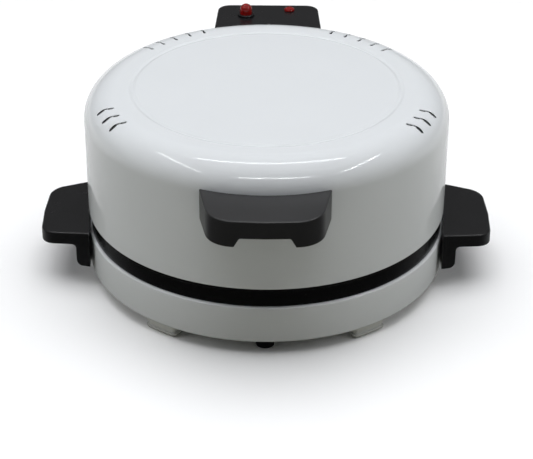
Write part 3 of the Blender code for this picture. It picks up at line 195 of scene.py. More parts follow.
def dress(piece, material, body, slot, *replaced, sharp=32):
    piece.data.materials.clear()
    piece.data.materials.append(material)
    piece.data.shade_smooth()
    piece.data.set_sharp_from_angle(angle=math.radians(sharp))
    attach(piece, body)
    if replaced:
        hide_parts(*replaced)


def redress(material, *names):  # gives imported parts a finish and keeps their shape
    for name in names:
        cadNodes[name].data.materials.clear()
        cadNodes[name].data.materials.append(material)


# Finishes

def makeSurface(tree, shader, colour=None, gloss=None, bump=None):
    # each is the value that drives it, and then its two colours, its two roughnesses or its depth
    if colour:
        driver, dark, light = colour
        tone = addNode(tree, "ShaderNodeMixRGB", {
            "Fac": driver, "Color1": linear(dark), "Color2": linear(light),
        })
        tree.links.new(tone.outputs["Color"], shader.inputs["Base Color"])
    if gloss:
        driver, (smooth, rough) = gloss
        shine = addNode(tree, "ShaderNodeMapRange", {"Value": driver, "To Min": smooth, "To Max": rough})
        tree.links.new(shine.outputs["Result"], shader.inputs["Roughness"])
    if bump:
        driver, depth = bump
        relief = addNode(tree, "ShaderNodeBump", {"Height": driver, "Distance": depth})
        tree.links.new(relief.outputs["Normal"], shader.inputs["Normal"])


def makeWhiteEnamel():
    # White stoving enamel sprayed on pressed steel: hard and glossy and slightly cool, with a
    # faint orange peel that softens what it reflects.
    look = {"peel": 3.0 * mm, "peelDepth": 0.004 * mm, "cloud": 60 * mm, "gloss": (0.07, 0.11)}
    material, tree, shader, place = startMaterial("whiteEnamel", {"IOR": 1.5})
    peel = addNode(tree, "ShaderNodeTexNoise", {"Vector": place, "Scale": 1 / look["peel"], "Detail": 2.0})
    cloud = addNode(tree, "ShaderNodeTexNoise", {"Vector": place, "Scale": 1 / look["cloud"], "Detail": 3.0})
    clouds = cloud.outputs["Fac"]
    makeSurface(tree, shader, colour=(clouds, "#D9DCDE", "#DCDFE1"), gloss=(clouds, look["gloss"]),
                bump=(peel.outputs["Fac"], look["peelDepth"]))
    return material


def makeGrainedPlastic(name, dark, light, grain, depth, gloss, index=1.5):
    # Thermoset or thermoplastic moulded in a spark-eroded tool: a fine even grain breaks up
    # the highlight, and handled spots shine a little more. The grain is drawn coarser than
    # the real 0.1 mm so that it shows at this distance.
    look = {"cloud": 25 * mm}
    material, tree, shader, place = startMaterial(name, {"IOR": index})
    pits = addNode(tree, "ShaderNodeTexVoronoi", {"Vector": place, "Scale": 1 / grain}, feature="SMOOTH_F1")
    cloud = addNode(tree, "ShaderNodeTexNoise", {"Vector": place, "Scale": 1 / look["cloud"], "Detail": 4.0})
    clouds = cloud.outputs["Fac"]
    makeSurface(tree, shader, colour=(clouds, dark, light), gloss=(clouds, gloss),
                bump=(pits.outputs["Distance"], depth))
    return material


def makeBlackEnamel():
    # Black porcelain enamel fired on the rim ring: dark and smooth, with tiny pits, drawn
    # coarser than the real ones so that they show.
    look = {"pit": 1.6 * mm, "pitDepth": 0.006 * mm, "gloss": (0.20, 0.30)}
    material, tree, shader, place = startMaterial("blackEnamel", {
        "IOR": 1.5, "Base Color": linear("#0A0A0B"),
    })
    pits = addNode(tree, "ShaderNodeTexNoise", {"Vector": place, "Scale": 1 / look["pit"], "Detail": 4.0})
    makeSurface(tree, shader, gloss=(pits.outputs["Fac"], look["gloss"]),
                bump=(pits.outputs["Fac"], look["pitDepth"]))
    return material


def makeGroundCoatWithPaintedShade():
    # Thin grey ground coat on the inner side of the lid's sheet, drawn dark so that it also paints the shade
    # inside the lid that the vent slots show: flat, slightly blotchy.
    look = {"blotch": 15 * mm}
    material, tree, shader, place = startMaterial("greyGroundCoatWithPaintedShade", {"Roughness": 0.8, "IOR": 1.5})
    cloud = addNode(tree, "ShaderNodeTexNoise", {"Vector": place, "Scale": 1 / look["blotch"], "Detail": 3.0})
    makeSurface(tree, shader, colour=(cloud.outputs["Fac"], "#2E2F31", "#3C3D3F"))
    return material


def makeMetal(name, dark, light, gloss, grain, depth, stretch=(1, 1, 1)):
    # Sheet, wire or bar: rolling or drawing leaves fine lines along one way, and the finish
    # clouds slightly. The lines are drawn coarser than real ones, which are too fine to show.
    # A stretch above 1 packs them closer along that axis.
    look = {"cloud": 18 * mm}
    material, tree, shader, place = startMaterial(name, {"Metallic": 1.0})
    lined = addNode(tree, "ShaderNodeVectorMath", {0: place, 1: stretch}, operation="MULTIPLY")
    lines = addNode(tree, "ShaderNodeTexNoise", {
        "Vector": lined.outputs["Vector"], "Scale": 1 / grain, "Detail": 5.0,
    })
    cloud = addNode(tree, "ShaderNodeTexNoise", {"Vector": place, "Scale": 1 / look["cloud"], "Detail": 3.0})
    makeSurface(tree, shader, colour=(cloud.outputs["Fac"], dark, light), gloss=(lines.outputs["Fac"], gloss),
                bump=(lines.outputs["Fac"], depth))
    return material


def makeNonstickPlate():
    # Dark nonstick coating sprayed on a turned aluminium plate: the lathe's rings show through
    # it, and mica flecks glint. Both are drawn coarser than the real feed and flakes.
    look = {
        "ring": 2.0 * mm, "ringDepth": 0.02 * mm, "gloss": (0.34, 0.44),
        "fleck": 0.9 * mm, "fleckReach": 0.12,
    }
    material, tree, shader, place = startMaterial("nonstickOnTurnedPlate", {"IOR": 1.42, "Metallic": 0.15})
    rings = addNode(tree, "ShaderNodeTexWave", {
        "Vector": place, "Scale": 1 / (look["ring"] * 2 * math.pi), "Distortion": 0.0,
    }, wave_type="RINGS", rings_direction="Z")
    flecks = addNode(tree, "ShaderNodeTexVoronoi", {"Vector": place, "Scale": 1 / look["fleck"]})
    glint = addNode(tree, "ShaderNodeMath", {
        0: flecks.outputs["Distance"], 1: look["fleckReach"],
    }, operation="LESS_THAN")
    makeSurface(tree, shader, colour=(glint.outputs["Value"], "#1E1E20", "#4A4A4C"),
                gloss=(rings.outputs["Fac"], look["gloss"]), bump=(rings.outputs["Fac"], look["ringDepth"]))
    return material


def makeRedLens():
    # Clear red polycarbonate over a small lamp that is off: deep red and glassy, with fine
    # ribs inside that vary the tone.
    look = {"rib": 1.2 * mm}
    material, tree, shader, place = startMaterial("redPolycarbonate", {
        "Roughness": 0.06, "IOR": 1.58, "Transmission Weight": 0.2,
        "Coat Weight": 0.2, "Coat Roughness": 0.03,
    })
    ribs = addNode(tree, "ShaderNodeTexWave", {
        "Vector": place, "Scale": 1 / (look["rib"] * 2 * math.pi), "Distortion": 0.0,
    }, wave_type="BANDS", bands_direction="Z")
    makeSurface(tree, shader, colour=(ribs.outputs["Fac"], "#7C0804", "#960E06"))
    return material


def makeGlassWool():
    # Resin-bound glass wool felt: a soft yellow mat of crossed fibres, drawn as coarse strands
    # because the real ones are too thin to show.
    look = {"fibre": 4 * mm, "fibreDepth": 0.8 * mm}
    material, tree, shader, place = startMaterial("glassWoolFelt", {"Roughness": 0.95, "IOR": 1.45})
    fibres = addNode(tree, "ShaderNodeTexNoise", {
        "Vector": place, "Scale": 1 / look["fibre"], "Detail": 8.0, "Distortion": 2.5,
    })
    makeSurface(tree, shader, colour=(fibres.outputs["Fac"], "#B59F63", "#E6D7A2"),
                bump=(fibres.outputs["Fac"], look["fibreDepth"]))
    return material


whiteEnamel = makeWhiteEnamel()
blackPhenolic = makeGrainedPlastic(
    "blackPhenolicMoulding", "#141415", "#18181A", grain=0.9 * mm, depth=0.010 * mm, gloss=(0.22, 0.30),
    index=1.65)
sheenPaintedPhenolic = makeGrainedPlastic(  # the lid's grip is drawn a little lighter than the other black mouldings, a painted sheen for the brighter top it shows
    "blackPhenolicPaintedSheen", "#242425", "#2A2A2B", grain=0.9 * mm, depth=0.008 * mm, gloss=(0.32, 0.40),
    index=1.65)
blackEnamel = makeBlackEnamel()
groundCoatWithPaintedShade = makeGroundCoatWithPaintedShade()
whiteFeetPlastic = makeGrainedPlastic(
    "whiteMouldedFeet", "#D2D3D0", "#D8D9D6", grain=0.8 * mm, depth=0.015 * mm, gloss=(0.38, 0.48))
blackRubber = makeGrainedPlastic(
    "blackMouldedRubber", "#0B0B0B", "#101010", grain=0.7 * mm, depth=0.03 * mm, gloss=(0.66, 0.8))
brownPhenolic = makeGrainedPlastic(
    "brownPhenolicMoulding", "#2A1A12", "#33211A", grain=0.8 * mm, depth=0.02 * mm, gloss=(0.42, 0.55))
steatite = makeGrainedPlastic(
    "whiteSteatite", "#CFCDC6", "#DAD8D1", grain=0.6 * mm, depth=0.03 * mm, gloss=(0.5, 0.65))
nonstickPlate = makeNonstickPlate()
redLens = makeRedLens()
glassWool = makeGlassWool()
aluminisedSheet = makeMetal(
    "aluminisedSheet", "#C4C4C0", "#D3D3D0", gloss=(0.30, 0.42), grain=5 * mm, depth=0.01 * mm,
    stretch=(1, 6, 1))
heaterSheath = makeMetal(
    "oxidisedHeaterSheath", "#4A4541", "#5E5852", gloss=(0.42, 0.58), grain=3 * mm, depth=0.03 * mm)
zincSteel = makeMetal(
    "zincPlatedSteel", "#B9BCBF", "#CCCFD1", gloss=(0.32, 0.45), grain=6 * mm, depth=0.02 * mm)
brightSteel = makeMetal(
    "brightRolledSteel", "#C2C2C1", "#CFCFCE", gloss=(0.25, 0.36), grain=2.5 * mm, depth=0.008 * mm,
    stretch=(1, 1, 8))
print("finishes made:", len(bpy.data.materials))


# Lid shell

lid = {
    "sheet": 1.2 * mm, "hem": 3.3 * mm, "hemRadius": 0.7 * mm,
    "shoulderRun": 33 * mm, "shoulderDrop": 29 * mm,
    "grooveInset": 15 * mm, "grooveWidth": 6.2 * mm, "grooveBed": 1.0 * mm, "grooveDepth": 0.8 * mm,
    "grooveRound": 2.5 * mm, "sides": 256, "shoulderSteps": 28, "innerSteps": 12,
    "innerShare": 0.8,  # a face deeper in the sheet than this share of it is on the inner side
}
vent = {
    "frontTurns": (59.8, 65.9, 72.2), "rearTurns": (127.2, 133.8, 140.5, 147.3, 153.8),
    "frontInset": 11 * mm, "rearInset": 20 * mm, "length": 13.2 * mm, "frontDrift": 4.6 * mm,
    "rearDrift": 1.2 * mm, "halfWidth": 1.35 * mm, "steps": 22, "endSteps": 6,
    # along the slot, from its inner end: where the bend is over, the waist, and the thicker outer part
    "bendEnd": 0.6, "narrow": 0.55, "waistAt": 0.42, "waistSpread": 0.15,
    "outerGain": 0.4, "gainFrom": 0.45, "gainRun": 0.25, "tip": 0.9,
    # how far the slot's rolled edge has opened, and how deep that is below the surface, in mm
    "roll": ((0.50, -0.8), (0.34, 0.03), (0.15, 0.13), (0.04, 0.30), (0.0, 0.55), (0.0, 7.0)),
}


def shoulderArc(radius, top, run, drop, steps):
    turns = [math.pi / 2 * i / steps for i in range(steps + 1)]
    return [(radius - run + run * math.sin(a), top - drop + drop * math.cos(a)) for a in turns]


def lidSurface(radius):  # height of the lid's top at a radius
    inner = bodyRadius - lid["shoulderRun"]
    if radius <= inner:
        return lidTop
    part = min((radius - inner) / lid["shoulderRun"], 1)
    return lidTop - lid["shoulderDrop"] * (1 - math.sqrt(1 - part ** 2))


def lidSolid(name, extra):  # the lid's outer shape as a solid, a little larger, to trim what sits on it
    arc = shoulderArc(bodyRadius + extra, lidTop + extra, lid["shoulderRun"] + extra,
                      lid["shoulderDrop"] + extra, lid["shoulderSteps"])
    return turned(name, [(0, lidTop + extra), *arc, (bodyRadius + extra, 0), (0, 0)], lid["sides"])


def ventCutter(name, angle, side, inset, drift):  # the slot's inner part bends forward by the drift
    start = bodyRadius - inset - vent["length"]
    out, across = outward(side * angle), Vector((math.cos(side * angle), math.sin(side * angle), 0))
    middle, tangents, widths = [], [], []
    for i in range(vent["steps"] + 1):
        s = i / vent["steps"]
        bent = min(s / vent["bendEnd"], 1)
        shift = side * drift * (1 - bent * bent * (3 - 2 * bent))
        middle.append(out * (start + s * vent["length"]) - across * shift)
        waist = 1 - (1 - vent["narrow"]) * math.exp(-((s - vent["waistAt"]) / vent["waistSpread"]) ** 2)
        gain = 1 + vent["outerGain"] * min(max((s - vent["gainFrom"]) / vent["gainRun"], 0), 1)
        tip = vent["tip"] if i in (0, vent["steps"]) else 1
        widths.append(vent["halfWidth"] * waist * gain * tip)
    for i in range(len(middle)):
        ahead, back = middle[min(i + 1, len(middle) - 1)], middle[max(i - 1, 0)]
        tangents.append((ahead - back).normalized())
    rings = []
    for opening, depth in vent["roll"]:
        left, right = [], []
        for point, tangent, width in zip(middle, tangents, widths):
            sideways = Vector((-tangent.y, tangent.x, 0)) * (width + opening * mm)
            left.append(point + sideways)
            right.append(point - sideways)
        ends = []
        for point, tangent, width, direction in ((middle[-1], tangents[-1], widths[-1], 1),
                                                 (middle[0], tangents[0], widths[0], -1)):
            reach = width + opening * mm
            sideways = Vector((-tangent.y, tangent.x, 0))
            turns = [math.pi * k / vent["endSteps"] for k in range(1, vent["endSteps"])]
            ends.append([point + (sideways * math.cos(a) + tangent * direction * math.sin(a)) * reach
                         for a in turns])
        outline = left + ends[0] + right[::-1] + ends[1][::-1]
        rings.append([(p.x, p.y, lidSurface(math.hypot(p.x, p.y)) - depth * mm) for p in outline])
    return loft(name, rings)


def makeLidShell():
    groove = bodyRadius - lid["shoulderRun"] - lid["grooveInset"]
    wide, bed, deep = lid["grooveWidth"] / 2, lid["grooveBed"] / 2, lid["grooveDepth"]
    edge, sheet, hem = lid["grooveRound"], lid["sheet"], lid["hem"]
    outer = softened([
        (0, lidTop, 0), (groove - wide, lidTop, edge), (groove - bed, lidTop - deep, edge),
        (groove + bed, lidTop - deep, edge), (groove + wide, lidTop, edge),
        (bodyRadius - lid["shoulderRun"], lidTop, 0),
    ], steps=5)
    arc = shoulderArc(bodyRadius, lidTop, lid["shoulderRun"], lid["shoulderDrop"], lid["shoulderSteps"])
    foot = softened([
        (bodyRadius, lidBottom + 4 * lid["hemRadius"], 0), (bodyRadius, lidBottom, lid["hemRadius"]),
        (bodyRadius - sheet - hem, lidBottom, 0), (bodyRadius - sheet - hem, lidBottom + sheet, 0),
        (bodyRadius - sheet, lidBottom + sheet, 0),
    ], steps=5)
    inner = shoulderArc(bodyRadius - sheet, lidTop - sheet, lid["shoulderRun"] - sheet,
                        lid["shoulderDrop"] - sheet, lid["innerSteps"])
    profile = outer[:-1] + arc + foot + inner[::-1] + [(0, lidTop - sheet)]
    shell = turned("lidShell", profile, lid["sides"])
    cutters = []
    for side in (1, -1):
        for group in ("front", "rear"):
            inset, drift = vent[group + "Inset"], vent[group + "Drift"]
            for angle in vent[group + "Turns"]:
                cutters.append(ventCutter(f"slot{len(cutters)}", math.radians(angle), side, inset, drift))
    carve(shell, cutters)
    dress(shell, whiteEnamel, "lid", "white_enamel", "lid_shell", sharp=28)
    # the inner faces take the dark ground coat, which also paints the shade inside the lid that the vent
    # slots show
    shell.data.materials.append(groundCoatWithPaintedShade)
    deepEnough = lid["innerShare"] * sheet
    for face in shell.data.polygons:
        out, rise = math.hypot(face.center.x, face.center.y), face.center.z
        if rise < lidTop - lid["shoulderDrop"]:
            inside = out < bodyRadius - deepEnough and rise > lidBottom + sheet + gap
        else:
            inside = rise < lidSurface(out) - deepEnough
        if inside:
            face.material_index = 1


makeLidShell()
print("lid shell made")


# Base shell and rim ring

base = {"sheet": 1.2 * mm, "edge": 2.5 * mm, "topFlange": 10 * mm, "bottomFlange": 32 * mm, "sides": 256}
ring = {
    "wall": 2 * mm, "lipHeight": 2 * mm, "lipSetback": 0.7 * mm, "setback": 2.3 * mm, "flange": 13.5 * mm,
    "ledgeDrop": 9.6 * mm, "ledgeWidth": 10.5 * mm, "round": 0.5 * mm,
}


def makeBaseShell():
    low, high, edge, sheet = baseLow.z, baseHigh.z, base["edge"], base["sheet"]
    inside = bodyRadius - sheet
    profile = softened([
        (bodyRadius - base["topFlange"], high, 0), (bodyRadius, high, edge), (bodyRadius, low, edge),
        (bodyRadius - base["bottomFlange"], low, 0), (bodyRadius - base["bottomFlange"], low + sheet, 0),
        (inside, low + sheet, edge - sheet), (inside, high - sheet, edge - sheet),
        (bodyRadius - base["topFlange"], high - sheet, 0),
    ])
    shell = turned("baseShell", profile, base["sides"])
    dress(shell, whiteEnamel, "base", "white_enamel", "base_shell", sharp=40)


def makeRimRing():
    low, high = ringLow.z, ringHigh.z
    lip, wall = bodyRadius - ring["lipSetback"], bodyRadius - ring["setback"]
    inner, thick, soft = bodyRadius - ring["flange"], ring["wall"], ring["round"]
    ledge = high - ring["ledgeDrop"]
    end = inner - ring["ledgeWidth"]
    profile = softened([
        (lip, high, 2 * soft), (lip, high - ring["lipHeight"], soft),
        (wall, high - ring["lipHeight"] - (lip - wall), soft), (wall, low, soft),
        (wall - thick, low, soft), (wall - thick, high - thick, soft), (inner + thick, high - thick, soft),
        (inner + thick, ledge - thick, soft), (end, ledge - thick, soft), (end, ledge, soft),
        (inner, ledge, soft), (inner, high, 2 * soft),
    ], steps=4)
    band = turned("rimRing", profile, base["sides"])
    dress(band, blackEnamel, "base", "black_enamel", "rim_ring", sharp=40)


makeBaseShell()
makeRimRing()
print("base shell and rim ring made")


# Handles

lidHandle = {
    "root": 25 * mm, "wallWidth": 126 * mm, "frontWidth": 100 * mm, "corner": 27 * mm, "bow": 2.2 * mm,
    "slope": 4 * mm, "shell": 3.2 * mm, "edge": 1.4 * mm, "lowEdge": 0.8 * mm,
    "notchRise": 9 * mm, "notchTop": 46 * mm, "notchBottom": 56 * mm, "notchRound": 2.5 * mm,
    "bossTurn": math.radians(12.5), "bossRadius": 5 * mm, "bossLength": 15 * mm,
}
sideHandle = {
    "inner": 4 * mm, "wallWidth": 116 * mm, "endWidth": 93 * mm, "corner": 18 * mm, "bow": 2 * mm,
    "slope": 4.6 * mm, "shell": 3.2 * mm, "edge": 2.0 * mm, "lowEdge": 0.8 * mm, "lip": 13 * mm,
    "leg": 13.5 * mm, "legCorner": 7 * mm, "heelSteps": 9, "fillet": 4 * mm,
    "rib": 12 * mm, "ribTurn": math.radians(9.5),
}


def gripOutline(root, wallWidth, endWidth, end, corner, bow, inset):
    wall, tip, front = wallWidth / 2 - inset, endWidth / 2 - inset, end - inset
    radius = max(corner - inset, bow)
    return softened([
        (-wall, -root, 0), (-tip, -front + bow, radius), (0, -front, radius),
        (tip, -front + bow, radius), (wall, -root, 0),
    ], steps=12)


def flatTop(y):  # for a block whose top doesn't fall
    return 0


def softBlock(name, outlineAt, bottom, top, edge, lowEdge, fall=flatTop, place=None):
    # a moulded block with a rolled top edge; fall lowers the top towards the grip's end
    steps = 6
    turns = [math.pi / 2 * i / steps for i in range(steps + 1)]
    rings = []
    for a in turns:
        outline = outlineAt(lowEdge * (1 - math.sin(a)))
        rings.append([(x, y, bottom + lowEdge * (1 - math.cos(a))) for x, y in outline])
    for a in turns:
        outline = outlineAt(edge * (1 - math.cos(a)))
        rings.append([(x, y, top - edge * (1 - math.sin(a)) - fall(y)) for x, y in outline])
    return loft(name, rings, place)


def sloped(name, outline, low, high, fall, place=None):  # a prism whose top falls the same way
    rings = [[(x, y, low) for x, y in outline], [(x, y, high - fall(y)) for x, y in outline]]
    return loft(name, rings, place)


def bossOutline(radius):  # a square whose corners are rounded nearly to a circle
    soft = 0.99 * radius
    return softened([(x * radius, y * radius, soft) for x, y in ((-1, -1), (1, -1), (1, 1), (-1, 1))])


def makeLidHandle():
    low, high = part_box("lid_handle")
    end, look = -low.y, lidHandle
    root, shell = bodyRadius - look["root"], look["shell"]
    sizes = (look["wallWidth"], look["frontWidth"], end, look["corner"], look["bow"])

    def fall(y):
        return look["slope"] * (-y - bodyRadius) / (end - bodyRadius)

    handle = softBlock("lidHandle", lambda inset: gripOutline(root, *sizes, inset), low.z, high.z,
                       look["edge"], look["lowEdge"], fall)
    hollow = sloped("handleHollow", gripOutline(root, *sizes, shell), low.z - overrun, high.z - shell, fall)
    back = bodyRadius + gap + shell
    carve(hollow, [turned("handleBack", [(0, lidTop), (back, lidTop), (back, 0), (0, 0)], lid["sides"])])
    half, top, under = look["notchBottom"] / 2, low.z + look["notchRise"], low.z - overrun
    notch = softened([
        (-half, under, 0), (half, under, 0), (half, low.z, look["notchRound"]),
        (look["notchTop"] / 2, top, look["notchRound"]), (-look["notchTop"] / 2, top, look["notchRound"]),
        (-half, low.z, look["notchRound"]),
    ], steps=6)
    upright = Matrix.Rotation(math.pi / 2, 4, "X")
    depth = shell + look["corner"] / 2
    carve(handle, [hollow, prism("handleNotch", notch, end - depth, end + overrun, upright)])
    height = (high.z + top) / 2 - shell
    boss, bosses = bossOutline(look["bossRadius"]), []
    for side in (-1, 1):
        place = wallPlace(side * look["bossTurn"], bodyRadius, height)
        bosses.append(prism(f"handleBoss{side}", boss, 0, look["bossLength"], place))
    carve(handle, bosses, "UNION")
    carve(handle, [lidSolid("handleSeat", gap)])
    # the grip's lighter phenolic is a painted sheen
    dress(handle, sheenPaintedPhenolic, "lid", "black_moulding", "lid_handle")


def makeSideHandle(name, node, angle):
    low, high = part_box(node)
    look, place = sideHandle, Matrix.Rotation(angle, 4, "Z")
    end, shell = max(abs(low.x), abs(high.x)), look["shell"]
    root, reach = bodyRadius - look["inner"], end - bodyRadius
    legEnd = root + look["leg"]
    sizes = (look["wallWidth"], look["endWidth"], end, look["corner"], look["bow"])

    def fall(y):
        return look["slope"] * (-y - bodyRadius) / reach

    handle = softBlock(name, lambda inset: gripOutline(root, *sizes, inset), low.z, high.z,
                       look["edge"], look["lowEdge"], fall, place)
    wide, heel, far = look["wallWidth"], look["legCorner"], end + overrun
    under = low.z - overrun
    standing = place @ Matrix(((0, 0, -1, 0), (-1, 0, 0, 0), (0, 1, 0, 0), (0, 0, 0, 1)))
    profile = softened([
        (legEnd, low.z + heel, 0), (legEnd, high.z - look["lip"] - fall(-legEnd), look["fillet"]),
        (far, high.z - look["lip"] - fall(-far), 0), (far, under, 0), (legEnd - heel, under, 0),
    ])
    for i in range(look["heelSteps"]):
        a = math.pi / 2 * (i / look["heelSteps"] - 1)
        profile.append((legEnd - heel + heel * math.cos(a), low.z + heel + heel * math.sin(a)))
    profileCutter = prism(f"{name}Under", profile, -wide, wide, standing)
    hollow = sloped(f"{name}Hollow", gripOutline(legEnd, *sizes, shell), under, high.z - shell, fall, place)
    rib, screwY = look["rib"] / 2, (bodyRadius + shell) * math.sin(look["ribTurn"])
    cheek = wide / 2 - shell
    pockets = [bar(f"{name}Pocket{i}", (left, -legEnd + shell, under),
                   (right, -(bodyRadius + gap + shell), high.z - shell - look["edge"]), place)
               for i, (left, right) in enumerate(((-cheek, -screwY - rib), (-screwY + rib, screwY - rib),
                                                  (screwY + rib, cheek)))]
    wall = bodyRadius + gap
    seat = turned(f"{name}Seat", [(0, ringHigh.z), (wall, ringHigh.z), (wall, 0), (0, 0)], base["sides"])
    carve(handle, [profileCutter, hollow, *pockets, seat])
    dress(handle, blackPhenolic, "base", "black_moulding", node)


makeLidHandle()
makeSideHandle("rightHandle", "right_handle", math.pi / 2)
makeSideHandle("leftHandle", "left_handle", -math.pi / 2)
print("handles made")


# Hinge housing, hinge cover, pin and clips

housing = {
    "width": 115 * mm, "taper": 3.5 * mm, "corner": 14 * mm, "shell": 2.5 * mm, "edge": 1.8 * mm,
    "lowEdge": 0.8 * mm, "root": 40 * mm,
}
hingeCover = {
    "width": 80 * mm, "corner": 10 * mm, "shell": 2.5 * mm, "edge": 1.2 * mm, "root": 25 * mm,
    "earX": 30 * mm, "slotHalf": 1.6 * mm, "slotDepth": 14 * mm,
}
hingePin = {"chamfer": 0.5 * mm, "clipRound": 0.2 * mm, "sides": 48}


def coverOutline(root, width, end, corner, inset, taper=0):  # taper draws each far corner in
    half, far, radius = width / 2 - inset, end - inset, corner - inset
    tip = half - taper
    return softened([(half, root, 0), (tip, far, radius), (-tip, far, radius), (-half, root, 0)], steps=12)


def makeHousing():
    low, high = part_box("hinge_housing")
    look, root = housing, bodyRadius - housing["root"]

    def outlineAt(inset):
        return coverOutline(root, look["width"], high.y, look["corner"], inset, look["taper"])

    block = softBlock("hingeHousing", outlineAt, low.z, high.z, look["edge"], look["lowEdge"])
    inside = coverOutline(root - overrun, look["width"], high.y, look["corner"], look["shell"], look["taper"])
    carve(block, [prism("housingHollow", inside, low.z - overrun, high.z - look["shell"]),
                  lidSolid("housingSeat", gap)])
    dress(block, blackPhenolic, "lid", "black_moulding", "hinge_housing")


def makeHingeCover():
    low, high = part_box("base_hinge_cover")
    look, root = hingeCover, bodyRadius - hingeCover["root"]

    def outlineAt(inset):
        return coverOutline(root, look["width"], high.y, look["corner"], inset)

    block = softBlock("hingeCover", outlineAt, low.z, high.z, look["edge"], look["edge"])
    inside = coverOutline(root - overrun, look["width"], high.y, look["corner"], look["shell"])
    tools = [prism("coverHollow", inside, low.z + look["shell"], high.z - look["shell"])]
    for side in (-1, 1):
        x = side * look["earX"]
        tools.append(bar(f"coverSlot{side}", (x - look["slotHalf"], root, high.z - look["slotDepth"]),
                         (x + look["slotHalf"], high.y + overrun, high.z + overrun)))
    wall = bodyRadius + gap
    tools.append(turned("coverSeat", [(0, lidTop), (wall, lidTop), (wall, 0), (0, 0)], base["sides"]))
    carve(block, tools)
    dress(block, blackPhenolic, "base", "black_moulding", "base_hinge_cover")


def makePin():
    radius, end, chamfer = (pinHigh.z - pinLow.z) / 2, pinHigh.x, hingePin["chamfer"]
    across = Matrix.Translation(hinge) @ Matrix.Rotation(math.pi / 2, 4, "Y")
    profile = [(0, end), (radius - chamfer, end), (radius, end - chamfer), (radius, chamfer - end),
               (radius - chamfer, -end), (0, -end)]
    rod = turned("hingePin", profile, hingePin["sides"], across)
    dress(rod, brightSteel, "base", "bright_steel", "hinge_pin")
    for name, node in (("pinClipLeft", "pin_clip_left"), ("pinClipRight", "pin_clip_right")):
        low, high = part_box(node)
        outer, thick, soft = (high.z - low.z) / 2, (high.x - low.x) / 2, hingePin["clipRound"]
        clip = softened([(radius + gap, thick, soft), (outer, thick, soft), (outer, -thick, soft),
                         (radius + gap, -thick, soft)], steps=3)
        middle = Matrix.Translation(((low.x + high.x) / 2, hinge.y, hinge.z))
        place = middle @ Matrix.Rotation(math.pi / 2, 4, "Y")
        dress(turned(name, clip, hingePin["sides"], place), brightSteel, "base", "bright_steel", node)


makeHousing()
makeHingeCover()
makePin()
print("hinge pieces made")


# Pilot lamps

lamp = {
    "barrel": 4.7 * mm, "barrelLength": 14 * mm, "bezelRound": 0.6 * mm, "lens": 6.5 * mm, "recess": 1 * mm,
    "domeSteps": 20, "flange": 1.6 * mm, "crownRadius": 3.6 * mm, "sides": 64,
}


def makeLamps():
    low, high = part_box("power_lamp_bezel")
    middle = (low + high) / 2
    seat, radius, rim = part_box("hinge_housing")[1].z + gap, (high.x - low.x) / 2, lamp["bezelRound"]
    place = Matrix.Translation((middle.x, middle.y, 0))
    bezel = softened([
        (0, high.z - lamp["recess"], 0), (lamp["lens"] + gap, high.z - lamp["recess"], 0),
        (lamp["lens"] + gap, high.z, rim / 2), (radius, high.z, rim), (radius, seat, 0),
        (lamp["barrel"], seat, 0), (lamp["barrel"], seat - lamp["barrelLength"], rim),
        (0, seat - lamp["barrelLength"], 0),
    ], steps=5)
    dress(turned("powerLampBezel", bezel, lamp["sides"], place), blackPhenolic, "lid", "black_moulding",
          "power_lamp_bezel")

    low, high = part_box("power_lamp_lens")
    radius = lamp["lens"]
    wall = high.z - radius
    turns = [math.pi / 2 * i / lamp["domeSteps"] for i in range(lamp["domeSteps"] + 1)]
    dome = [(radius * math.sin(a), wall + radius * math.cos(a)) for a in turns]
    dome[0] = (0, high.z)
    dress(turned("powerLampLens", [*dome, (radius, low.z), (0, low.z)], lamp["sides"], place), redLens, "lid",
          "red_lens", "power_lamp_lens")

    low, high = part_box("ready_lamp_lens")
    middle, radius = (low + high) / 2, (high.x - low.x) / 2
    place = Matrix.Translation((middle.x, middle.y, 0))
    button = softened([
        (0, high.z, 0), (lamp["crownRadius"], high.z, 2 * rim), (radius, seat + lamp["flange"], 2 * rim),
        (radius, seat, 0), (lamp["barrel"], seat, 0), (lamp["barrel"], seat - lamp["barrelLength"], rim),
        (0, seat - lamp["barrelLength"], 0),
    ], steps=6)
    dress(turned("readyLampLens", button, lamp["sides"], place), redLens, "lid", "red_lens",
          "ready_lamp_lens")


makeLamps()
print("lamps made")


# Feet, rubber foot and gland

foot = {
    "turn": math.radians(35.4), "wallInset": 3.5 * mm, "width": 38 * mm, "depth": 26 * mm, "corner": 5 * mm,
    "taper": 0.6 * mm, "round": 3.6 * mm, "roundSteps": 5, "faceSteps": 6,
    "counterbore": 5 * mm, "counterDepth": 8 * mm, "hole": 2.3 * mm, "boreSides": 48,
}
rubberFoot = {
    "stem": 2.8 * mm, "stemRound": 0.5 * mm, "bulb": 4 * mm, "bulbRound": 0.3 * mm, "round": 1.5 * mm,
    "sides": 64,
}
gland = {
    "turn": math.radians(152), "flangeRadius": 9.5 * mm, "flange": 3.5 * mm, "flangeRound": 1.4 * mm,
    "barrel": 6 * mm, "length": 9 * mm, "bore": 3.6 * mm, "round": 0.5 * mm, "sides": 48,
}


def footOutline(inset):  # its outer face follows the drum
    out, half = bodyRadius - foot["wallInset"], foot["width"] / 2
    inner, span = out - foot["depth"] + inset, math.asin(half / out)
    out, half, steps = out - inset, half - inset, foot["faceSteps"]
    turns = [span * (i / steps - 1) for i in range(2, 2 * steps - 1)]  # clear of the two outer corners
    face = [(out * math.cos(a), out * math.sin(a), 0) for a in turns]
    edge, corner = out * math.cos(span), foot["corner"] - inset
    return softened([(inner, -half, corner), (edge, -half, corner), *face, (edge, half, corner),
                     (inner, half, corner)])


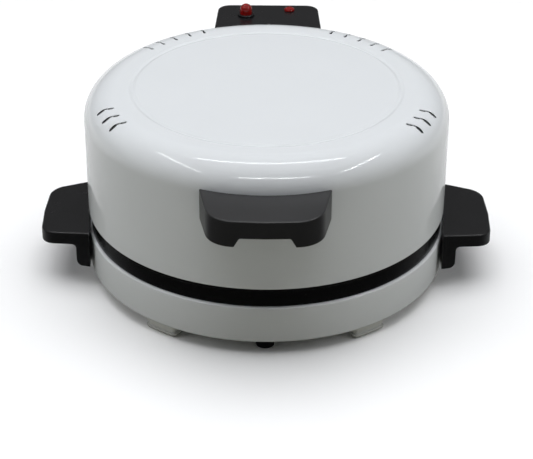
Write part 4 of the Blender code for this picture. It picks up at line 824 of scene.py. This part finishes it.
def makeFoot(side, turn):
    top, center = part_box(f"foot_{side}")[1].z, bodyRadius - foot["wallInset"] - foot["depth"] / 2
    turns = [math.pi / 2 * i / foot["roundSteps"] for i in range(foot["roundSteps"], -1, -1)]
    levels = [(foot["round"] * (1 - math.cos(a)), foot["round"] * (1 - math.sin(a))) for a in turns]
    rings = []
    for rise, inset in (*levels, (top, 0)):
        drawn = foot["taper"] * (1 - rise / top)
        across, along = 1 - 2 * drawn / foot["width"], 1 - 2 * drawn / foot["depth"]
        rings.append([(center + (x - center) * along, y * across, rise) for x, y in footOutline(inset)])
    block = loft("foot" + side.title().replace("_", ""), rings)
    hole = softened([
        (0, top + overrun, 0), (foot["hole"], top + overrun, 0), (foot["hole"], foot["counterDepth"], 0),
        (foot["counterbore"], foot["counterDepth"], 0), (foot["counterbore"], -overrun, 0), (0, -overrun, 0),
    ])
    carve(block, [turned(f"{side}Bore", hole, foot["boreSides"], Matrix.Translation((center, 0, 0)))])
    block.data.transform(Matrix.Rotation(turn - math.pi / 2, 4, "Z"))
    dress(block, whiteFeetPlastic, "base", "white_feet", f"foot_{side}")


def makeFeet():
    makeFoot("front_right", foot["turn"])
    makeFoot("front_left", -foot["turn"])
    makeFoot("rear_right", math.pi - foot["turn"])
    makeFoot("rear_left", math.pi + foot["turn"])

    low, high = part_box("front_rubber_foot")
    middle, radius = (low + high) / 2, (high.x - low.x) / 2
    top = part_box("foot_front_left")[1].z
    stem, cutTop = rubberFoot["stem"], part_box("bottom_cover")[1].z + gap
    profile = softened([
        (0, high.z, 0), (stem, high.z, rubberFoot["stemRound"]),
        (rubberFoot["bulb"], cutTop, rubberFoot["bulbRound"]), (stem, cutTop, 0), (stem, top, 0),
        (radius, top, rubberFoot["round"] / 2), (radius, 0, rubberFoot["round"]), (0, 0, 0),
    ])
    place = Matrix.Translation((middle.x, middle.y, 0))
    dress(turned("frontRubberFoot", profile, rubberFoot["sides"], place), blackRubber, "base", "rubber",
          "front_rubber_foot")


def makeGland():
    low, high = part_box("cord_gland")
    place = wallPlace(gland["turn"], bodyRadius + gap, (low.z + high.z) / 2)
    profile = softened([
        (gland["bore"], gland["flange"], gland["round"]),
        (gland["flangeRadius"], gland["flange"], gland["flangeRound"]), (gland["flangeRadius"], 0, 0),
        (gland["barrel"], 0, 0), (gland["barrel"], -gland["length"], gland["round"]),
        (gland["bore"], -gland["length"], 0),
    ], steps=5)
    dress(turned("cordGland", profile, gland["sides"], place), blackRubber, "base", "rubber", "cord_gland")


makeFeet()
makeGland()
print("feet and gland made")


# Baking plate, heaters, liner and reflector

plate = {
    "rimWidth": 4 * mm, "slopeRun": 8.5 * mm, "floorDrop": 6.5 * mm, "seatInset": 9.5 * mm, "sink": 2 * mm,
    "round": 1.2 * mm, "sides": 192,
}
heater = {
    "radius": 105 * mm, "tube": 3.5 * mm, "tubeRoundness": 5, "spread": 36.5 * mm, "steps": 160,
    "bend": 8 * mm, "bendSteps": 12, "tail": 14 * mm,
}
liner = {"sheet": 1 * mm, "corner": 20 * mm, "air": 10 * mm, "sides": 192}
reflector = {"sheet": 0.8 * mm, "wallRun": 10.5 * mm, "flange": 7 * mm, "round": 2.5 * mm, "sides": 128}


def makePlate():
    low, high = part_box("baking_plate")
    radius = high.x
    floor, seat = high.z - plate["floorDrop"], low.z + plate["sink"]
    inside, seatRadius = radius - plate["rimWidth"], radius - plate["seatInset"]
    profile = softened([
        (0, floor, 0), (inside - plate["slopeRun"], floor, 3 * plate["round"]),
        (inside, high.z, plate["round"]), (radius, high.z, plate["round"]),
        (radius, seat, plate["round"] / 2), (seatRadius, seat, 0),
        (seatRadius - plate["sink"], low.z, 0), (0, low.z, 0),
    ])
    dress(turned("bakingPlate", profile, plate["sides"]), nonstickPlate, "base", "nonstick_plate",
          "baking_plate")


def heaterLine(height, tail):  # an open ring whose two ends bend away to the terminals
    halfGap = math.asin(heater["spread"] / 2 / heater["radius"])
    start, end = math.pi + halfGap, 3 * math.pi - halfGap
    turns = [start + (end - start) * i / heater["steps"] for i in range(heater["steps"] + 1)]
    line = [outward(a) * heater["radius"] + Vector((0, 0, height)) for a in turns]
    away = Vector((0, 0, math.copysign(1, tail)))

    def bend(place, along):
        angles = [math.pi / 2 * i / heater["bendSteps"] for i in range(1, heater["bendSteps"] + 1)]
        points = [place + (along * math.sin(a) + away * (1 - math.cos(a))) * heater["bend"] for a in angles]
        return points + [points[-1] + away * (abs(tail) - heater["bend"])]

    first = bend(line[0], (line[0] - line[1]).normalized())
    last = bend(line[-1], (line[-1] - line[-2]).normalized())
    return first[::-1] + line + last


def makeHeater(name, node, body, tail):
    low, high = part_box(node)
    height = low.z + heater["tube"] if tail > 0 else high.z - heater["tube"]
    curve = bpy.data.curves.new(name, "CURVE")
    curve.dimensions = "3D"
    curve.bevel_depth = heater["tube"]
    curve.bevel_resolution = heater["tubeRoundness"]
    curve.use_fill_caps = True
    line = heaterLine(height, tail)
    spline = curve.splines.new("POLY")
    spline.points.add(len(line) - 1)
    for point, place in zip(spline.points, line):
        point.co = (*place, 1)
    rod = addObject(name, curve)
    bpy.context.view_layer.update()
    mesh = bpy.data.meshes.new_from_object(rod.evaluated_get(bpy.context.evaluated_depsgraph_get()))
    bpy.data.objects.remove(rod)
    dress(addObject(name, mesh), heaterSheath, body, "heater_sheath", node, sharp=50)


def makeLiner():
    low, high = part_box("lid_liner")
    flange, sheet, corner = high.x, liner["sheet"], liner["corner"]
    wall = bodyRadius - liner["air"]
    profile = softened([
        (0, high.z, 0), (wall, high.z, corner), (wall, low.z + sheet, sheet), (flange, low.z + sheet, 0),
        (flange, low.z, 0), (wall - sheet, low.z, 0), (wall - sheet, high.z - sheet, corner - sheet),
        (0, high.z - sheet, 0),
    ], steps=14)
    dress(turned("lidLiner", profile, liner["sides"]), aluminisedSheet, "lid", "aluminised_sheet",
          "lid_liner", sharp=40)


def makeReflector():
    low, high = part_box("lower_reflector")
    out, sheet, soft = high.x, reflector["sheet"], reflector["round"]
    wall = out - reflector["flange"]
    end = wall - reflector["wallRun"]
    profile = softened([
        (0, low.z + sheet, 0), (end, low.z + sheet, soft), (wall, high.z, soft / 2), (out, high.z, 0),
        (out, high.z - sheet, 0), (wall + sheet / 2, high.z - sheet, soft / 2),
        (end + sheet / 2, low.z, soft), (0, low.z, 0),
    ], steps=5)
    dress(turned("lowerReflector", profile, reflector["sides"]), aluminisedSheet, "base", "aluminised_sheet",
          "lower_reflector", sharp=40)


makePlate()
makeHeater("upperHeater", "upper_heater", "lid", heater["bend"] + heater["tail"])
makeHeater("lowerHeater", "lower_heater", "base", -heater["bend"] - heater["tail"])
makeLiner()
makeReflector()
print("cooking space made")


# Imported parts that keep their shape

redress(zincSteel, "bottom_cover", "power_lamp_nut", "ready_lamp_nut",
        *[name for name in cadNodes if "screw" in name])
redress(brightSteel, "base_hinge_bracket", "lid_hinge_bracket",
        *[name for name in cadNodes if "_clip_" in name and not name.startswith("pin_")])
redress(glassWool, "insulation_pad")
redress(brownPhenolic, "thermostat")
redress(steatite, "thermal_fuse", "terminal_block", "lid_terminal_block")
print("packed parts given their finishes")


# Floor, world, lights and camera

studio = {
    "floorHalf": 6.0, "fadeFrom": 0.55, "fadeTo": 1.0,  # between these the shadowed floor turns plain white
    "frontFrom": -0.15, "frontTo": 0.25, "floorMirror": (0.03, 0.75),  # the floor in gloss, front and rear
    "ambient": 0.03, "mirrorLow": 0.03, "mirrorHigh": 0.25,  # the room's own light, and the room in gloss
    "keyTint": "#FCFDFF", "bounceTint": "#B4B3A8", "stripHeight": 2.5, "stripWidth": 0.08,
}
softboxes = {  # name: place, aim, size and power
    "overheadSoftbox": ((0.0, 0.18, 2.4), (0.0, 0.1, 0.0), (3.4, 2.4), 76.0),
    "leftSoftbox": ((-2.1, 0.0, 1.0), (0.0, 0.0, 0.05), (1.8, 1.0), 14.0),
    "rightSoftbox": ((2.1, 0.0, 1.0), (0.0, 0.0, 0.05), (1.8, 1.0), 14.0),
    "frontFill": ((0.0, -2.4, 0.5), (0.0, 0.0, 0.08), (2.0, 0.5), 2.0),
}
strips = {  # name: start, end and glow of a thin tube lamp over the table
    "rearStrip": ((-0.84, 0.49), (0.96, 0.49), 18.0), "frontStrip": ((-0.74, -2.0), (1.23, -2.0), 38.0),
    "leftStrip": ((-1.70, -1.52), (-1.70, 0.46), 14.0), "rightStrip": ((2.13, -1.57), (2.13, 0.26), 28.0),
}
camera = {
    "lens": 114.5, "sensor": 36.0, "distance": 1.744, "elevation": math.radians(29.45),
    "turn": math.radians(0.25), "roll": math.radians(0.27), "aim": (0.0003, 0.0, 0.0345),
}


def rayKinds(tree):  # two values: 1 for a ray straight or through glass from the eye, 1 for a mirrored ray
    rays = addNode(tree, "ShaderNodeLightPath", {})
    seen = addNode(tree, "ShaderNodeMath", {
        0: rays.outputs["Is Camera Ray"], 1: rays.outputs["Is Transmission Ray"],
    }, operation="MAXIMUM").outputs["Value"]
    return seen, rays.outputs["Is Glossy Ray"]


def makeFloor():
    half = studio["floorHalf"]
    corners = [(-half, -half, 0), (half, -half, 0), (half, half, 0), (-half, half, 0)]
    floor = meshPiece("studioFloor", corners, [(0, 1, 2, 3)])
    material = bpy.data.materials.new("paleFloor")
    material.use_nodes = True
    tree = material.node_tree
    tree.nodes.remove(tree.nodes["Principled BSDF"])
    seen, mirrored = rayKinds(tree)
    place = addNode(tree, "ShaderNodeTexCoord", {}).outputs["Object"]
    depth = addNode(tree, "ShaderNodeSeparateXYZ", {"Vector": place}).outputs["Y"]
    front, rear = studio["floorMirror"]
    mirror = addNode(tree, "ShaderNodeMapRange", {
        "Value": depth, "From Min": studio["frontFrom"], "From Max": studio["frontTo"],
        "To Min": front, "To Max": rear,
    }, interpolation_type="SMOOTHSTEP").outputs["Result"]
    level = addNode(tree, "ShaderNodeMix", {"Factor": seen, "A": mirror, "B": 1.0}).outputs["Result"]
    either = addNode(tree, "ShaderNodeMath", {0: seen, 1: mirrored}, operation="MAXIMUM").outputs["Value"]
    tone = addNode(tree, "ShaderNodeMixRGB", {
        "Fac": either, "Color1": linear(studio["bounceTint"]), "Color2": level,
    })
    matt = addNode(tree, "ShaderNodeBsdfDiffuse", {"Color": tone.outputs["Color"]})
    distance = addNode(tree, "ShaderNodeVectorMath", {0: place}, operation="LENGTH")
    fade = addNode(tree, "ShaderNodeMapRange", {
        "Value": distance.outputs["Value"], "From Min": studio["fadeFrom"], "From Max": studio["fadeTo"],
    }, interpolation_type="SMOOTHSTEP")
    amount = addNode(tree, "ShaderNodeMath", {0: fade.outputs["Result"], 1: either}, operation="MULTIPLY")
    glow = addNode(tree, "ShaderNodeEmission", {"Color": linear("#FFFFFF"), "Strength": level})
    both = addNode(tree, "ShaderNodeMixShader", {
        0: amount.outputs["Value"], 1: matt.outputs["BSDF"], 2: glow.outputs["Emission"],
    })
    tree.links.new(both.outputs["Shader"], tree.nodes["Material Output"].inputs["Surface"])
    floor.data.materials.append(material)


def makeWorld():
    world = bpy.data.worlds.new("studio")
    bpy.context.scene.world = world
    world.use_nodes = True
    tree = world.node_tree
    seen, mirrored = rayKinds(tree)
    height = addNode(tree, "ShaderNodeSeparateXYZ", {
        "Vector": addNode(tree, "ShaderNodeTexCoord", {}).outputs["Generated"],
    }).outputs["Z"]
    mirror = addNode(tree, "ShaderNodeMapRange", {
        "Value": height, "To Min": studio["mirrorLow"], "To Max": studio["mirrorHigh"],
    }).outputs["Result"]
    room = addNode(tree, "ShaderNodeMix", {"Factor": mirrored, "A": studio["ambient"], "B": mirror})
    level = addNode(tree, "ShaderNodeMix", {"Factor": seen, "A": room.outputs["Result"], "B": 1.0})
    background = tree.nodes["Background"]
    background.inputs["Color"].default_value = linear("#FFFFFF")
    tree.links.new(level.outputs["Result"], background.inputs["Strength"])


def makeLight(name, place, aim, size, power, glossy=False):  # lights surfaces, or only shows in their gloss
    light = bpy.data.lights.new(name, "AREA")
    light.shape = "RECTANGLE"
    light.size, light.size_y = size
    light.energy = power
    light.color = linear(studio["keyTint"])[:3]
    holder = addObject(name, light)
    holder.location = place
    holder.rotation_euler = (Vector(aim) - Vector(place)).to_track_quat("-Z", "Y").to_euler()
    holder.visible_camera = False
    holder.visible_glossy, holder.visible_diffuse = glossy, not glossy


def makeSoftboxes():
    for name, (place, aim, size, power) in softboxes.items():
        makeLight(name, place, aim, size, power)


def makeStrips():  # thin tubes that only show as the long glints on the shoulders
    for name, (start, end, bright) in strips.items():
        along, wide = math.hypot(end[0] - start[0], end[1] - start[1]), studio["stripWidth"]
        size = (along, wide) if start[1] == end[1] else (wide, along)
        place = ((start[0] + end[0]) / 2, (start[1] + end[1]) / 2, studio["stripHeight"])
        makeLight(name, place, (place[0], place[1], 0), size, bright * math.pi * along * wide, glossy=True)


def makeCamera():
    data = bpy.data.cameras.new("photoCamera")
    data.lens, data.sensor_width, data.sensor_fit = camera["lens"], camera["sensor"], "HORIZONTAL"
    view = addObject("photoCamera", data)
    aim, up, side = Vector(camera["aim"]), camera["elevation"], camera["turn"]
    back = Vector((math.cos(up) * math.sin(side), -math.cos(up) * math.cos(side), math.sin(up)))
    view.location = aim + back * camera["distance"]
    upright = (-back).to_track_quat("-Z", "Y")
    view.rotation_euler = (upright @ Quaternion((0, 0, 1), camera["roll"])).to_euler()
    bpy.context.scene.camera = view


makeFloor()
makeWorld()
makeSoftboxes()
makeStrips()
makeCamera()
bpy.context.scene.view_settings.view_transform = "Standard"
print("studio made")
